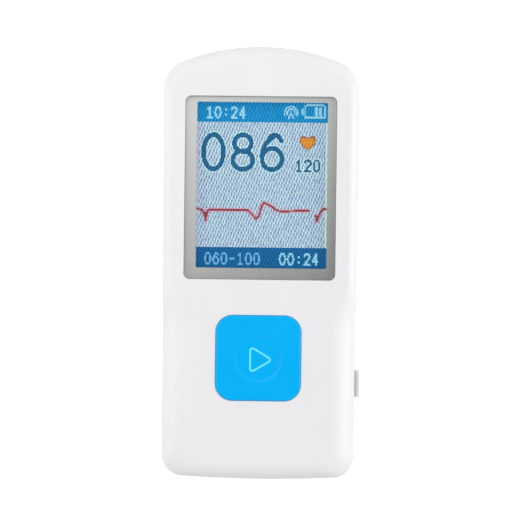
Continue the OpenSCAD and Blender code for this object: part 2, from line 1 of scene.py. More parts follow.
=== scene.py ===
"""A handheld heart monitor on a pale table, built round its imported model."""

import math
from types import SimpleNamespace

import bmesh
import bpy
import numpy as np
from bpy.props import (BoolProperty, FloatProperty, FloatVectorProperty, IntProperty,
                       PointerProperty, StringProperty)
from mathutils import Matrix, Vector


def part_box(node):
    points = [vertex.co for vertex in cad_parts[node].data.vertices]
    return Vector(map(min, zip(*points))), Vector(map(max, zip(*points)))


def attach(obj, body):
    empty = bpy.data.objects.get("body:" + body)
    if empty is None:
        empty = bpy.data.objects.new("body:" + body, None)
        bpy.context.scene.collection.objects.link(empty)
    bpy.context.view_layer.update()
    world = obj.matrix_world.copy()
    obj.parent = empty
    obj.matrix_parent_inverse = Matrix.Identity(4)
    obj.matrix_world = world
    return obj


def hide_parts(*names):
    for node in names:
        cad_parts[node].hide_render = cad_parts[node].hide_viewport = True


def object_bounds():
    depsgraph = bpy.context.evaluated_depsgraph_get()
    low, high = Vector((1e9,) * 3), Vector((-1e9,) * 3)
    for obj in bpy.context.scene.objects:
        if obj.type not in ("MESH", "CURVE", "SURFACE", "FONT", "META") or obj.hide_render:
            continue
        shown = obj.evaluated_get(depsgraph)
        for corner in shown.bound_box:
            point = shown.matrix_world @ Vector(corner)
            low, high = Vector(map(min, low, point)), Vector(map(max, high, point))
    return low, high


bl_info = {
    "name": "Heart monitor maker",
    "version": (1, 0, 0),
    "blender": (4, 5, 0),
    "location": "3D View > Sidebar > Heart monitor",
    "description": "Builds the covers, window, picture, button, socket, electrodes and screws "
                   "of a handheld heart monitor, and the table and lights it is shown with",
    "category": "Object",
}

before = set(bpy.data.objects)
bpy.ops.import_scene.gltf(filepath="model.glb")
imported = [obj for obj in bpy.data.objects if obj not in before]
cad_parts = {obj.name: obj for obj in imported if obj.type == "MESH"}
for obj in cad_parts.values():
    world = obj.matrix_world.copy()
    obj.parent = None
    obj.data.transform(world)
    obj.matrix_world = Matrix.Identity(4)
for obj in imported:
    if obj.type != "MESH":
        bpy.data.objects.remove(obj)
CAD_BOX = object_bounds()

MM = 0.001


class Box:
    """The box round one of the model's nodes, in millimetres."""

    def __init__(self, node_name):
        low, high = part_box(node_name)
        self.low, self.high = low / MM, high / MM
        self.middle, self.size = (self.low + self.high) / 2, self.high - self.low

    def outline(self, corner, grow=0.0):
        """Its plan with round corners, grown by so much on every side."""
        return rounded(self.size.x, self.size.y, corner, self.middle, grow)


WINDOW, GLASS, KEY, SOCKET, PLUNGER = map(Box, (
    "display_window", "display_glass", "measure_button", "port_shell", "switch_plunger"))
ELECTRODES = {name: Box(name)
              for name in ("electrode_chest", "electrode_left", "electrode_right")}

PAST = 1.0      # how far a cutter runs past the face that it opens, in millimetres
BITE = 0.3      # how far a piece runs into the one that it's joined to


# ---------------------------------------------------------------- settings

def length(name, default, description):
    """A size in metres, given here in millimetres."""
    return FloatProperty(name=name, description=description, default=default * MM,
                         min=0.0, unit="LENGTH", precision=5)


def colour(name, default, description):
    return FloatVectorProperty(name=name, description=description, default=default, size=3,
                               min=0.0, max=1.0, subtype="COLOR")


class MONITOR_PG_shell(bpy.types.PropertyGroup):
    """Sizes and colour of the two covers."""
    width: length("Width", 45.3, "Width at the shoulders")
    foot_width: length("Foot width", 44.5, "Width at the foot")
    body_length: length("Length", 100, "Length from foot to crown")
    thickness: length("Thickness", 15, "Rear face to front face")
    crown_radius: length("Crown radius", 50, "Radius of the domed crown")
    shoulder_radius: length("Shoulder radius", 7, "Radius of the shoulder corners")
    foot_radius: length("Foot radius", 340, "Radius of the bowed foot")
    foot_corner: length("Foot corner", 4.9, "Radius of the foot corners")
    seam_height: length("Seam height", 7.6, "Height of the seam between the covers")
    seam_gap: length("Seam gap", 0.15, "Shadow gap at the seam")
    lip: length("Lip rounding", 0.14, "Rounding of both lips at the seam")
    edge_in: length("Edge in", 2.4, "How far the edge rolls in beside the display")
    edge_deep: length("Edge deep", 2.6, "How deep that roll is")
    grip_in: length("Grip in", 6, "How far the edge rolls in along the grip")
    grip_deep: length("Grip deep", 4.6, "How deep that roll is")
    crown_in: length("Crown in", 3, "How far the edge rolls in at the crown")
    foot_in: length("Foot in", 3.8, "How far the edge rolls in at the foot")
    grip_start: length("Grip start", 55, "Where the broad roll starts, from the crown")
    grip_blend: length("Grip blend", 10, "Length over which the edge changes")
    rear_in: length("Rear in", 3.2, "How far the rear edge rolls in")
    rear_deep: length("Rear deep", 3, "How deep the rear roll is")
    wall: length("Wall", 1.8, "Wall of the covers")
    rear_wall: length("Rear wall", 1.6, "Wall of the rear face")
    crown_screw_in: length("Crown screws", 8.6, "Crown screws from the side and the crown")
    foot_screw_in: length("Foot screws", 6.15, "Foot screws from the side")
    foot_screw_up: length("Foot screws up", 8, "Foot screws from the foot")
    tongue_height: length("Tongue height", 1.1, "Tongue above the seam")
    tongue_wall: length("Tongue wall", 0.75, "Thickness of the tongue")
    plastic: colour("Plastic", (0.843, 0.841, 0.852), "Colour of the white plastic")


class MONITOR_PG_window(bpy.types.PropertyGroup):
    """The clear window and its printed border, with light and shade painted across the border."""
    corner: length("Corner", 1.3, "Corner radius of the window")
    gap: length("Gap", 0.1, "Gap between window and pocket")
    edge: length("Edge", 0.22, "Rounding of the window's upper edge")
    print_room: length("Print room", 0.03, "Window above its print, so that their faces don't mix")
    border_left: length("Border left", 2.6, "Printed border at the left")
    border_right: length("Border right", 1.95, "Printed border at the right")
    border_top: length("Border top", 1.15, "Printed border at the top")
    border_bottom: length("Border bottom", 2.55, "Printed border at the bottom")
    # Painted light: the border's colour where light falls on it at the upper left
    print_light: colour("Print light", (0.855, 0.875, 0.83), "Border at the upper left")
    # Painted shade: the border's colour where it lies in shade at the lower right
    print_dark: colour("Print dark", (0.345, 0.365, 0.35), "Border at the lower right")


class MONITOR_PG_picture(bpy.types.PropertyGroup):
    """What the display shows, on its grid of dots."""
    columns: IntProperty(name="Columns", description="Dots across", default=128, min=16)
    rows: IntProperty(name="Rows", description="Dots from top to bottom", default=160, min=16)
    dot_share: FloatProperty(name="Dot share", description="Share of its cell that a dot fills",
                             default=0.97, min=0.5, max=1.0)
    layer: length("Layer", 0.02, "Thickness of each layer of the picture")
    reading: StringProperty(name="Reading", description="Three large numbers", default="086")
    clock: StringProperty(name="Clock", description="Numbers at the upper left", default="10:24")
    limit: StringProperty(name="Limit", description="Small numbers by the reading", default="120")
    span: StringProperty(name="Span", description="Numbers at the lower left", default="060-100")
    timer: StringProperty(name="Timer", description="Numbers at the lower right", default="00:24")
    field_light: colour("Field light", (0.68, 0.90, 1.0), "Light streaks of the field")
    field_dark: colour("Field dark", (0.12, 0.24, 0.42), "Dark streaks of the field")
    field_lilac: colour("Field lilac", (0.66, 0.70, 1.0), "Lilac patches of the field")
    edge_pale: colour("Edge pale", (0.66, 0.90, 0.88), "Light along the right edge")
    edge_lilac: colour("Edge lilac", (0.58, 0.62, 0.86), "Light along the left edge")
    number_blue: colour("Number blue", (0.001, 0.12, 0.28), "Large numbers")
    top_bar: colour("Top bar", (0.003, 0.27, 0.60), "Bar above the field")
    bottom_bar: colour("Bottom bar", (0.001, 0.125, 0.335), "Bar below the field")
    sign_pale: colour("Sign pale", (0.34, 0.76, 1.0), "Signs on the bars")
    span_pale: colour("Span pale", (0.17, 0.52, 0.88), "Numbers at the lower left")
    number_glow: colour("Number glow", (0.58, 0.88, 1.0), "Light round the large numbers")
    heart: colour("Heart", (0.82, 0.29, 0.01), "Heart sign")
    heart_edge: colour("Heart edge", (0.40, 0.13, 0.05), "Line round the heart sign")
    trace: colour("Trace", (0.28, 0.032, 0.045), "Heart trace")
    trace_glow: colour("Trace glow", (0.70, 0.38, 0.48), "Light round the trace")


class MONITOR_PG_button(bpy.types.PropertyGroup):
    """The square button and its printed mark."""
    width: length("Width", 19.6, "Side of the button")
    corner: length("Corner", 3.9, "Corner radius")
    gap: length("Gap", 0.05, "Gap around the button")
    edge: length("Edge", 0.6, "Rounding of the upper edge")
    flange: length("Flange", 1, "How far the flange reaches out")
    flange_height: length("Flange height", 0.9, "Height of the flange")
    skirt: length("Skirt", 1.6, "Wall of the hollow button")
    roof: length("Roof", 1.5, "Thickness over the hollow")
    dish_radius: length("Dish radius", 5.8, "Radius of the finger dish")
    dish_depth: length("Dish depth", 0.35, "Depth of the finger dish")
    rim_step: length("Rim step", 0.2, "Drop at the rim of the dish")
    rim_width: length("Rim width", 1.0, "Width of that drop")
    mark_stroke: length("Mark stroke", 0.4, "Width of the printed line")
    blue: colour("Blue", (0.0002, 0.445, 0.93), "Colour of the button")
    mark: colour("Mark", (0.14, 0.86, 1.0), "Colour of the printed mark")


class MONITOR_PG_socket(bpy.types.PropertyGroup):
    """The charging socket's metal shell, with shade painted on its sleeve."""
    width: length("Width", 6.2, "Width of the shell")
    height: length("Height", 2.6, "Height of the shell")
    depth: length("Depth", 5.6, "Length of the shell")
    flare: length("Flare", 0.15, "How much the mouth flares")
    flare_length: length("Flare length", 0.5, "Length of the flared lips")
    wall: length("Wall", 0.3, "Wall of the shell")
    slant: length("Slant", 0.75, "Slanted lower corners")
    corner: length("Corner", 0.35, "Round upper corners")
    bright: colour("Bright", (1.0, 1.0, 1.0), "Plating on the lips")
    # Painted shade: the sleeve's colour where it sits in the shadow of the opening by the body
    dull: colour("Dull", (0.82, 0.82, 0.83), "Plating on the sleeve")


class MONITOR_PG_rear(bpy.types.PropertyGroup):
    """Electrodes and screws of the rear face."""
    plate_corner: length("Plate corner", 2.5, "Corner radius of the electrodes")
    plate_wall: length("Plate thickness", 0.6, "Thickness of the electrodes")
    plate_edge: length("Plate edge", 0.18, "Rounding of their edge")
    plate_gap: length("Plate gap", 0.1, "Gap around each electrode")
    stud_radius: length("Stud radius", 1.5, "Radius of the studs")
    head_radius: length("Head radius", 1.7, "Radius of the screw heads")
    head_height: length("Head height", 1.1, "Height of the screw heads")
    bore_radius: length("Bore radius", 1.9, "Radius of the counterbores")
    bore_depth: length("Bore depth", 1.9, "Depth of the counterbores")
    shank_radius: length("Shank radius", 0.8, "Radius of the shanks")
    seed: IntProperty(name="Seed", description="Turns the screws' recesses", default=7)


class MONITOR_PG_stage(bpy.types.PropertyGroup):
    """Camera, lights and table."""
    distance: length("Distance", 400, "Camera to the front face")
    lens: FloatProperty(name="Lens", description="Focal length in millimetres", default=121.4)
    side_angle: FloatProperty(name="Side angle", description="Camera towards the socket side",
                              default=math.radians(1.2), subtype="ANGLE")
    foot_angle: FloatProperty(name="Foot angle", description="Camera towards the foot",
                              default=math.radians(0.0), subtype="ANGLE")
    roll: FloatProperty(name="Roll", description="How far the monitor is turned clockwise",
                        default=math.radians(0.7), subtype="ANGLE")
    aim_x: FloatProperty(name="Aim X", description="Point in the middle of the picture",
                         default=-0.86 * MM, unit="LENGTH", precision=5)
    aim_y: FloatProperty(name="Aim Y", description="Point in the middle of the picture",
                         default=1.656 * MM, unit="LENGTH", precision=5)
    table: colour("Table", (0.8, 0.8, 0.8), "Colour of the table")
    show_table: BoolProperty(name="Show table", description="Lay the monitor on a table",
                             default=True)


SETTINGS = {"monitor_shell": MONITOR_PG_shell, "monitor_window": MONITOR_PG_window,
            "monitor_picture": MONITOR_PG_picture, "monitor_button": MONITOR_PG_button,
            "monitor_socket": MONITOR_PG_socket, "monitor_rear": MONITOR_PG_rear,
            "monitor_stage": MONITOR_PG_stage}


def own(settings):
    """The settings that a group declares itself."""
    return [prop for prop in settings.bl_rna.properties
            if prop.identifier not in {"rna_type", "name"}]


def in_mm(context, group):
    """One group of settings, with its lengths in millimetres."""
    settings = getattr(context.scene, group)
    values = {}
    for prop in own(settings):
        value = getattr(settings, prop.identifier)
        is_length = getattr(prop, "unit", "NONE") == "LENGTH"
        values[prop.identifier] = value / MM if is_length else value
    return SimpleNamespace(**values)


# ---------------------------------------------------------------- outlines, in millimetres

def mix(a, b, t):
    return a + (b - a) * t


def ease(t):
    t = np.clip(t, 0, 1)
    return t * t * (3 - 2 * t)


def ellipse(x, y, rx, ry, start=0, end=360, count=28, last=True):
    """Points on an ellipse from start to end in degrees, with or without the last one."""
    angles = np.radians(np.linspace(start, end, count, endpoint=last))
    return np.column_stack([x + rx * np.cos(angles), y + ry * np.sin(angles)])


def arc(centre, radius, start, end, count, last=False):
    return ellipse(*centre, radius, radius, start, end, count, last)


def disc(x, y, radius, count=48):
    return arc((x, y), radius, 0, 360, count)


def rounded(width, height, radius, middle=(0, 0), grow=0.0, steps=12):
    """A rectangle with round corners, counter-clockwise, grown by so much on every side."""
    x, y = width / 2 - radius, height / 2 - radius
    return np.vstack([
        arc((middle[0] + sx * x, middle[1] + sy * y), radius + grow, 90 * i, 90 * i + 90,
            steps + 1, last=True)
        for i, (sx, sy) in enumerate(((1, 1), (-1, 1), (-1, -1), (1, -1)))])


def quarter(radius, count):
    """Steps (inward, down) along a rounded edge, from its side wall to its face."""
    return [(radius * (1 - math.cos(angle)), radius * (1 - math.sin(angle)))
            for angle in np.radians(np.linspace(0, 90, count))]


def level(points, z):
    return np.column_stack([points, np.full(len(points), float(z))])


def upright(points, x, y, z):
    """An outline stood up across X, its own middle at y and z."""
    return np.column_stack([np.full(len(points), float(x)), points + np.array([y, z])])


class Housing:
    """The plan outline of the covers and the rings of their rolled edges."""

    def __init__(self, s):
        self.s = s
        half_w, half_l = self.half_w, self.half_l = s.width / 2, s.body_length / 2
        crown = np.array([0, half_l - s.crown_radius])
        shoulder = np.array([half_w - s.shoulder_radius, crown[1] + math.sqrt(
            (s.crown_radius - s.shoulder_radius) ** 2 - (half_w - s.shoulder_radius) ** 2)])
        shoulder_angle = math.degrees(math.atan2(shoulder[1] - crown[1], shoulder[0]))
        foot = np.array([0, s.foot_radius - half_l])
        corner = np.array([half_w - s.foot_corner, foot[1] - math.sqrt(
            (s.foot_radius - s.foot_corner) ** 2 - (half_w - s.foot_corner) ** 2)])
        corner_angle = math.degrees(math.atan2(corner[1] - foot[1], corner[0]))
        side = np.arange(64) / 64
        right = np.vstack([
            arc(foot, s.foot_radius, -90, corner_angle, 10),
            arc(corner, s.foot_corner, corner_angle, 0, 16),
            np.column_stack([np.full(len(side), half_w), mix(corner[1], shoulder[1], side)]),
            arc(shoulder, s.shoulder_radius, 0, shoulder_angle, 16),
            arc(crown, s.crown_radius, shoulder_angle, 90, 26),
            [[0, half_l]]])
        whole = np.vstack([right, right[1:-1][::-1] * np.array([-1, 1])])
        self.outline = whole * np.column_stack([self.taper(whole[:, 1]), np.ones(len(whole))])

    def taper(self, y):
        """Width at y as a share of the width at the crown."""
        return mix(self.s.foot_width / self.s.width, 1, (y + self.half_l) / self.s.body_length)

    def drawn_in(self, dx, dy):
        return self.outline * np.column_stack([
            1 - np.broadcast_to(dx, len(self.outline)) / self.half_w,
            1 - np.broadcast_to(dy, len(self.outline)) / self.half_l])

    def inset(self, d):
        return self.drawn_in(d, d)

    def front_ring(self, d, theta):
        """A ring of the front skin: theta 0 is the side wall, 90 the front face."""
        s, y = self.s, self.outline[:, 1]
        grip = ease((self.half_l - s.grip_start - y) / s.grip_blend)
        turn = 1 - math.cos(math.radians(theta))
        across = mix(s.edge_in, s.grip_in, grip) - d
        along = np.where(y > 0, s.crown_in, s.foot_in) - d
        deep = mix(s.edge_deep, s.grip_deep, grip) - d
        plan = self.drawn_in(d + across * turn, d + along * turn)
        return np.column_stack([plan, s.thickness - d
                                - deep * (1 - math.sin(math.radians(theta)))])

    def rear_ring(self, d, floor, theta):
        """A ring of the rear skin: theta 0 is the side wall, 90 the rear face."""
        s = self.s
        inward = d + (s.rear_in - d) * (1 - math.cos(math.radians(theta)))
        return level(self.inset(inward),
                     floor + (s.rear_deep - d) * (1 - math.sin(math.radians(theta))))

    def screws(self):
        """Where the four cover screws are."""
        s = self.s
        crown = (self.half_w - s.crown_screw_in, self.half_l - s.crown_screw_in)
        foot = (s.foot_width / 2 - s.foot_screw_in, s.foot_screw_up - self.half_l)
        return [(side * x, y) for side in (-1, 1) for x, y in (crown, foot)]

    def socket_opening(self, room=0.3, corner=0.6, depth=4.3):
        """A cutter for the rounded opening in the side wall that the socket stands in."""
        low, high = SOCKET.low.z - room / 2, SOCKET.high.z + room
        shape = rounded(SOCKET.size.y + 2 * room, high - low, corner, steps=6)
        face = self.half_w * self.taper(SOCKET.middle.y)
        return closed_mesh("cutter", [upright(shape, x, SOCKET.middle.y, (low + high) / 2)
                                      for x in (face - depth, face + depth)])


# ---------------------------------------------------------------- meshes

def skin(rings, closed=False):
    """Faces from each ring to the next, and from the last to the first if it's closed."""
    count = len(rings[0])
    faces = []
    for j in range(len(rings) if closed else len(rings) - 1):
        low, high = j * count, (j + 1) % len(rings) * count
        faces += [(low + i, low + (i + 1) % count, high + (i + 1) % count, high + i)
                  for i in range(count)]
    return faces


def closed_mesh(name, rings):
    """A closed skin through rings of equal count, lowest ring first, as an object."""
    count, last = len(rings[0]), (len(rings) - 1) * len(rings[0])
    ends = [tuple(range(count))[::-1], tuple(range(last, last + count))]
    return new_object(name, np.vstack(rings), skin(rings) + ends)


def new_object(name, places, faces=()):
    mesh = bpy.data.meshes.new(name)
    mesh.from_pydata([tuple(map(float, p)) for p in places], [], faces)
    mesh.update()
    obj = bpy.data.objects.new(name, mesh)
    bpy.context.scene.collection.objects.link(obj)
    return obj


def prism(outline, low, high):
    return closed_mesh("cutter", [level(outline, low), level(outline, high)])


def rod(x, y, radius, low, high):
    return prism(disc(x, y, radius), low, high)


def opening(outline_at, low, top, fillet):
    """A cutter whose mouth at the face at top is rounded over by the fillet."""
    rings = [level(outline_at(0), low)]
    rings += [level(outline_at(inward), top - down) for inward, down in quarter(fillet, 7)]
    rings.append(level(outline_at(fillet), top + PAST))
    return closed_mesh("cutter", rings)


def flipped(obj):
    """The same cutter turned over, for a face that looks down."""
    obj.data.transform(Matrix.Scale(-1, 4, (0, 0, 1)))
    obj.data.flip_normals()
    return obj


def evaluated_mesh(obj):
    """Gives the object its mesh with its modifiers, and takes those off."""
    graph = bpy.context.evaluated_depsgraph_get()
    mesh = bpy.data.meshes.new_from_object(obj.evaluated_get(graph))
    old = obj.data
    obj.modifiers.clear()
    obj.data = mesh
    mesh.name = obj.name
    bpy.data.meshes.remove(old)
    if not mesh.polygons:
        raise RuntimeError(f"{obj.name} came out empty")
    return obj


def combine(obj, operation, others):
    for other in others:
        change = obj.modifiers.new("combine", "BOOLEAN")
        change.operation = operation
        change.solver = "MANIFOLD"
        change.object = other
        evaluated_mesh(obj)
        bpy.data.meshes.remove(other.data)
    return obj


def add(obj, *others):
    return combine(obj, "UNION", others)


def cut(obj, *others):
    return combine(obj, "DIFFERENCE", others)


def finished(obj, material, body, replaces=(), sharp=28):
    """Smooths a piece, brings it to metres, paints it and makes it ride on its body."""
    shape = bmesh.new()
    shape.from_mesh(obj.data)
    bmesh.ops.remove_doubles(shape, verts=shape.verts, dist=1e-4)
    bmesh.ops.dissolve_degenerate(shape, edges=shape.edges, dist=1e-4)
    bmesh.ops.recalc_face_normals(shape, faces=shape.faces)
    shape.to_mesh(obj.data)
    shape.free()
    smoothed(obj, sharp)
    obj.modifiers.new("even faces", "WEIGHTED_NORMAL").keep_sharp = True
    return placed(evaluated_mesh(obj), material, body, replaces)


def smoothed(obj, sharp):
    """Brings a mesh to metres and smooths it, apart from edges that turn by sharp degrees."""
    obj.data.transform(Matrix.Scale(MM, 4))
    obj.data.shade_smooth()
    obj.data.set_sharp_from_angle(angle=math.radians(sharp))
    return obj


def placed(obj, material, body, replaces=()):
    obj.data.materials.clear()
    obj.data.materials.append(material)
    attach(obj, body)
    if replaces:
        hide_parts(*replaces)
    return obj


# ---------------------------------------------------------------- node helpers

def feed(tree, made, inputs):
    """Sets a node's inputs, and links those that are given a socket."""
    for label, value in inputs.items():
        if isinstance(value, bpy.types.NodeSocket):
            tree.links.new(value, made.inputs[label])
        else:
            made.inputs[label].default_value = value


def node(tree, kind, inputs=(), **settings):
    """A node with its settings made and its inputs fed."""
    made = tree.nodes.new(kind)
    for name, value in settings.items():
        setattr(made, name, value)
    feed(tree, made, dict(inputs))
    return made


def new_group(name, inputs, outputs, kind="ShaderNodeTree"):
    """A node group with named sockets, each given by its type, or by its default if a float."""
    tree = bpy.data.node_groups.new(name, kind)
    for way, sockets in (("INPUT", inputs), ("OUTPUT", outputs)):
        for label, given in sockets.items():
            is_type = isinstance(given, str)
            made = tree.interface.new_socket(
                label, in_out=way, socket_type="NodeSocket" + (given if is_type else "Float"))
            if not is_type:
                made.default_value = given
    return tree, tree.nodes.new("NodeGroupInput").outputs, tree.nodes.new("NodeGroupOutput")


def shared(build):
    """The node group that a function here builds, built when it's first asked for."""
    name = build.__name__.replace("_", " ")
    return bpy.data.node_groups.get(name) or build(name)


def use_group(tree, build, **values):
    """The outputs of a shared group, placed with its own values."""
    values = {label.replace("_", " "): value for label, value in values.items()}
    return node(tree, "ShaderNodeGroup", values, node_tree=shared(build)).outputs


def math_node(tree, operation, *values):
    return node(tree, "ShaderNodeMath", enumerate(values), operation=operation).outputs[0]


def spread(tree, value, low, high, to_low=0.0, to_high=1.0):
    """value between low and high, spread from to_low to to_high."""
    return node(tree, "ShaderNodeMapRange",
                {"Value": value, "From Min": low, "From Max": high,
                 "To Min": to_low, "To Max": to_high}).outputs["Result"]


def mixed(tree, factor, first, second):
    """A colour between first and second, each a colour or a socket."""
    made = node(tree, "ShaderNodeMix", {"Factor": factor}, data_type="RGBA")
    slots = [i for i, socket in enumerate(made.inputs) if socket.type == "RGBA"]
    for slot, value in zip(slots, (first, second)):
        is_socket = isinstance(value, bpy.types.NodeSocket)
        feed(tree, made, {slot: value if is_socket else (*value, 1.0)})
    return next(socket for socket in made.outputs if socket.type == "RGBA")


def noise(tree, place, scale, detail=2.0, roughness=0.5):
    """Smooth noise. The scale is in waves to the metre."""
    return node(tree, "ShaderNodeTexNoise",
                {"Vector": place, "Scale": scale, "Detail": detail,
                 "Roughness": roughness}).outputs["Fac"]


def per_metre(tree, size):
    return math_node(tree, "DIVIDE", 1.0, size)


def object_place(tree):
    return tree.nodes.new("ShaderNodeTexCoord").outputs["Object"]


def axes(tree, vector):
    return node(tree, "ShaderNodeSeparateXYZ", {0: vector}).outputs


# ---------------------------------------------------------------- shared effects

def moulded_grain(name):
    """Fine tool grain of moulded plastic, and the slow mottle of its gloss."""
    tree, given, out = new_group(name, {"Grain Size": 0.0003, "Mottle Size": 0.012},
                                 {"Height": "Float", "Mottle": "Float"})
    place = object_place(tree)
    slow = noise(tree, place, per_metre(tree, given["Mottle Size"]))
    feed(tree, out, {"Height": noise(tree, place, per_metre(tree, given["Grain Size"]), 3.0, 0.6),
                     "Mottle": spread(tree, slow, 0.35, 0.65)})
    return tree


def handling_smudge(name):
    """Faint patches where fingers have touched a smooth surface."""
    tree, given, out = new_group(name, {"Patch Size": 0.02, "Streak Size": 0.0015},
                                 {"Mask": "Float"})
    place = object_place(tree)
    patches = noise(tree, place, per_metre(tree, given["Patch Size"]), 3.0)
    streaks = noise(tree, place, per_metre(tree, given["Streak Size"]))
    feed(tree, out, {"Mask": math_node(tree, "MULTIPLY", spread(tree, patches, 0.48, 0.72),
                                       spread(tree, streaks, 0.3, 0.7, 0.4, 1.0))})
    return tree


def brushed_metal(name):
    """Long fine strokes along one axis."""
    tree, given, out = new_group(
        name, {"Along X": 250.0, "Along Y": 9000.0, "Along Z": 9000.0},
        {"Height": "Float", "Streak": "Float"})
    scales = node(tree, "ShaderNodeCombineXYZ", {axis: given[f"Along {axis}"] for axis in "XYZ"})
    place = node(tree, "ShaderNodeVectorMath", {0: object_place(tree), 1: scales.outputs[0]},
                 operation="MULTIPLY")
    value = noise(tree, place.outputs[0], 1.0, 4.0, 0.65)
    feed(tree, out, {"Height": value, "Streak": spread(tree, value, 0.3, 0.7)})
    return tree


# The three crossing waves of lit dots: slant in degrees and strength
WAVES = {"Leaning": (-22.3, 0.54), "Upright": (0.0, 0.30), "Crossing": (33.4, 0.26)}


def woven_light(name):
    """The short steep streaks that a fine grid of lit dots shows to the eye."""
    tree, given, out = new_group(
        name, {"Leaning Pitch": 0.000702, "Upright Pitch": 0.000581,
               "Crossing Pitch": 0.000708, "Sway": 0.00035},
        {"Light": "Float", "Lilac": "Float"})
    place = object_place(tree)
    sway = node(tree, "ShaderNodeVectorMath",
                {0: noise(tree, place, 1400.0), "Scale": given["Sway"]}, operation="SCALE")
    swayed = node(tree, "ShaderNodeVectorMath", {0: place, 1: sway.outputs[0]}, operation="ADD")
    total = spread(tree, noise(tree, place, 2600.0, 2.0, 0.7), 0.3, 0.7, -0.4, 0.4)
    for label, (slant, strength) in WAVES.items():
        turned = node(tree, "ShaderNodeVectorRotate",
                      {"Vector": swayed.outputs[0], "Angle": -math.radians(slant)},
                      rotation_type="Z_AXIS").outputs["Vector"]
        turns = math_node(tree, "DIVIDE", math.tau, given[f"{label} Pitch"])
        wave = math_node(tree, "SINE",
                         math_node(tree, "MULTIPLY", axes(tree, turned)["X"], turns))
        total = math_node(tree, "ADD", total, math_node(tree, "MULTIPLY", wave, strength))
    feed(tree, out, {"Light": spread(tree, total, -0.85, 0.6),
                     "Lilac": spread(tree, noise(tree, place, 900.0, 1.0), 0.55, 0.72)})
    return tree


def board_tracks(name):
    """Straight conductor tracks with pads between them, under solder mask."""
    tree, given, out = new_group(name, {"Pitch": 0.0012}, {"Track": "Float"})
    bricks = node(tree, "ShaderNodeTexBrick",
                  {"Vector": object_place(tree),
                   "Scale": math_node(tree, "DIVIDE", 0.25, given["Pitch"]),
                   "Mortar Size": 0.035, "Mortar Smooth": 0.1})
    feed(tree, out, {"Track": bricks.outputs["Fac"]})
    return tree


# ---------------------------------------------------------------- materials

def new_material(name, base, roughness, metallic=0.0, specular=0.5):
    material = bpy.data.materials.new(name)
    material.use_nodes = True
    material.diffuse_color = (*base, 1.0)
    tree = material.node_tree
    shader = tree.nodes["Principled BSDF"]
    feed(tree, shader, {"Base Color": (*base, 1.0), "Roughness": roughness,
                        "Metallic": metallic, "Specular IOR Level": specular})
    return material, tree, shader


def kept(build):
    """Gives back the material that already has the name, and otherwise builds it."""
    def find_or_build(name, *values, **named):
        return bpy.data.materials.get(name) or build(name, *values, **named)
    return find_or_build


def bumped(tree, shader, height, depth):
    bump = node(tree, "ShaderNodeBump", {"Strength": 0.6, "Distance": depth, "Height": height})
    feed(tree, shader, {"Normal": bump.outputs["Normal"]})


def shade(base, share):
    return tuple(min(1.0, c * share) for c in base)


def handled(tree, shader, tint, darker, base, gloss, smudge):
    """Tint and gloss that follow a mask, the gloss as (from, to, change where it's smudged)."""
    touched = spread(tree, smudge["Mask"], 0, 1, 0, gloss[2])
    feed(tree, shader, {
        "Base Color": mixed(tree, tint, shade(base, darker), base),
        "Roughness": math_node(tree, "ADD", spread(tree, tint, 0, 1, *gloss[:2]), touched)})


@kept
def plastic(name, base, roughness=0.38, grain=0.0003, depth=0.000006, tone=0.985,
            specular=0.5):
    """Moulded plastic: fine grain, a slow mottle in tone and gloss, and faint smudges."""
    material, tree, shader = new_material(name, base, roughness, specular=specular)
    texture = use_group(tree, moulded_grain, Grain_Size=grain)
    handled(tree, shader, texture["Mottle"], tone, base,
            (roughness - 0.03, roughness + 0.03, -0.06), use_group(tree, handling_smudge))
    bumped(tree, shader, texture["Height"], depth)
    return material


@kept
def metal(name, base, roughness=0.3, along=(250.0, 9000.0, 9000.0), depth=0.000004):
    """Brushed metal with strokes along one axis and fingers' smudges."""
    material, tree, shader = new_material(name, base, roughness, metallic=1.0)
    brush = use_group(tree, brushed_metal, Along_X=along[0], Along_Y=along[1], Along_Z=along[2])
    handled(tree, shader, brush["Streak"], 0.9, base, (roughness - 0.06, roughness + 0.06, 0.08),
            use_group(tree, handling_smudge, Patch_Size=0.008))
    bumped(tree, shader, brush["Height"], depth)
    return material


GLOW = 0.55         # share of a lit colour that the display gives off itself
DAYLIGHT = 1.4      # what room light and glow add up to


@kept
def lit(name, dark, light, lilac=None):
    """A lit colour of the display, woven from dark and light streaks."""
    dark, light, lilac = (shade(c, 1 / DAYLIGHT) for c in (dark, light, lilac or light))
    material, tree, shader = new_material(name, light, 0.5, specular=0.2)
    weave = use_group(tree, woven_light)
    pale = mixed(tree, weave["Lilac"], light, lilac)
    streaked = mixed(tree, weave["Light"], dark, pale)
    feed(tree, shader, {"Base Color": streaked, "Emission Color": streaked,
                        "Emission Strength": GLOW})
    return material


def flat_lit(name, base, contrast=0.12):
    """A lit colour with streaks a little darker and lighter than the colour itself."""
    return lit(name, shade(base, 1 - contrast), shade(base, 1 + contrast))


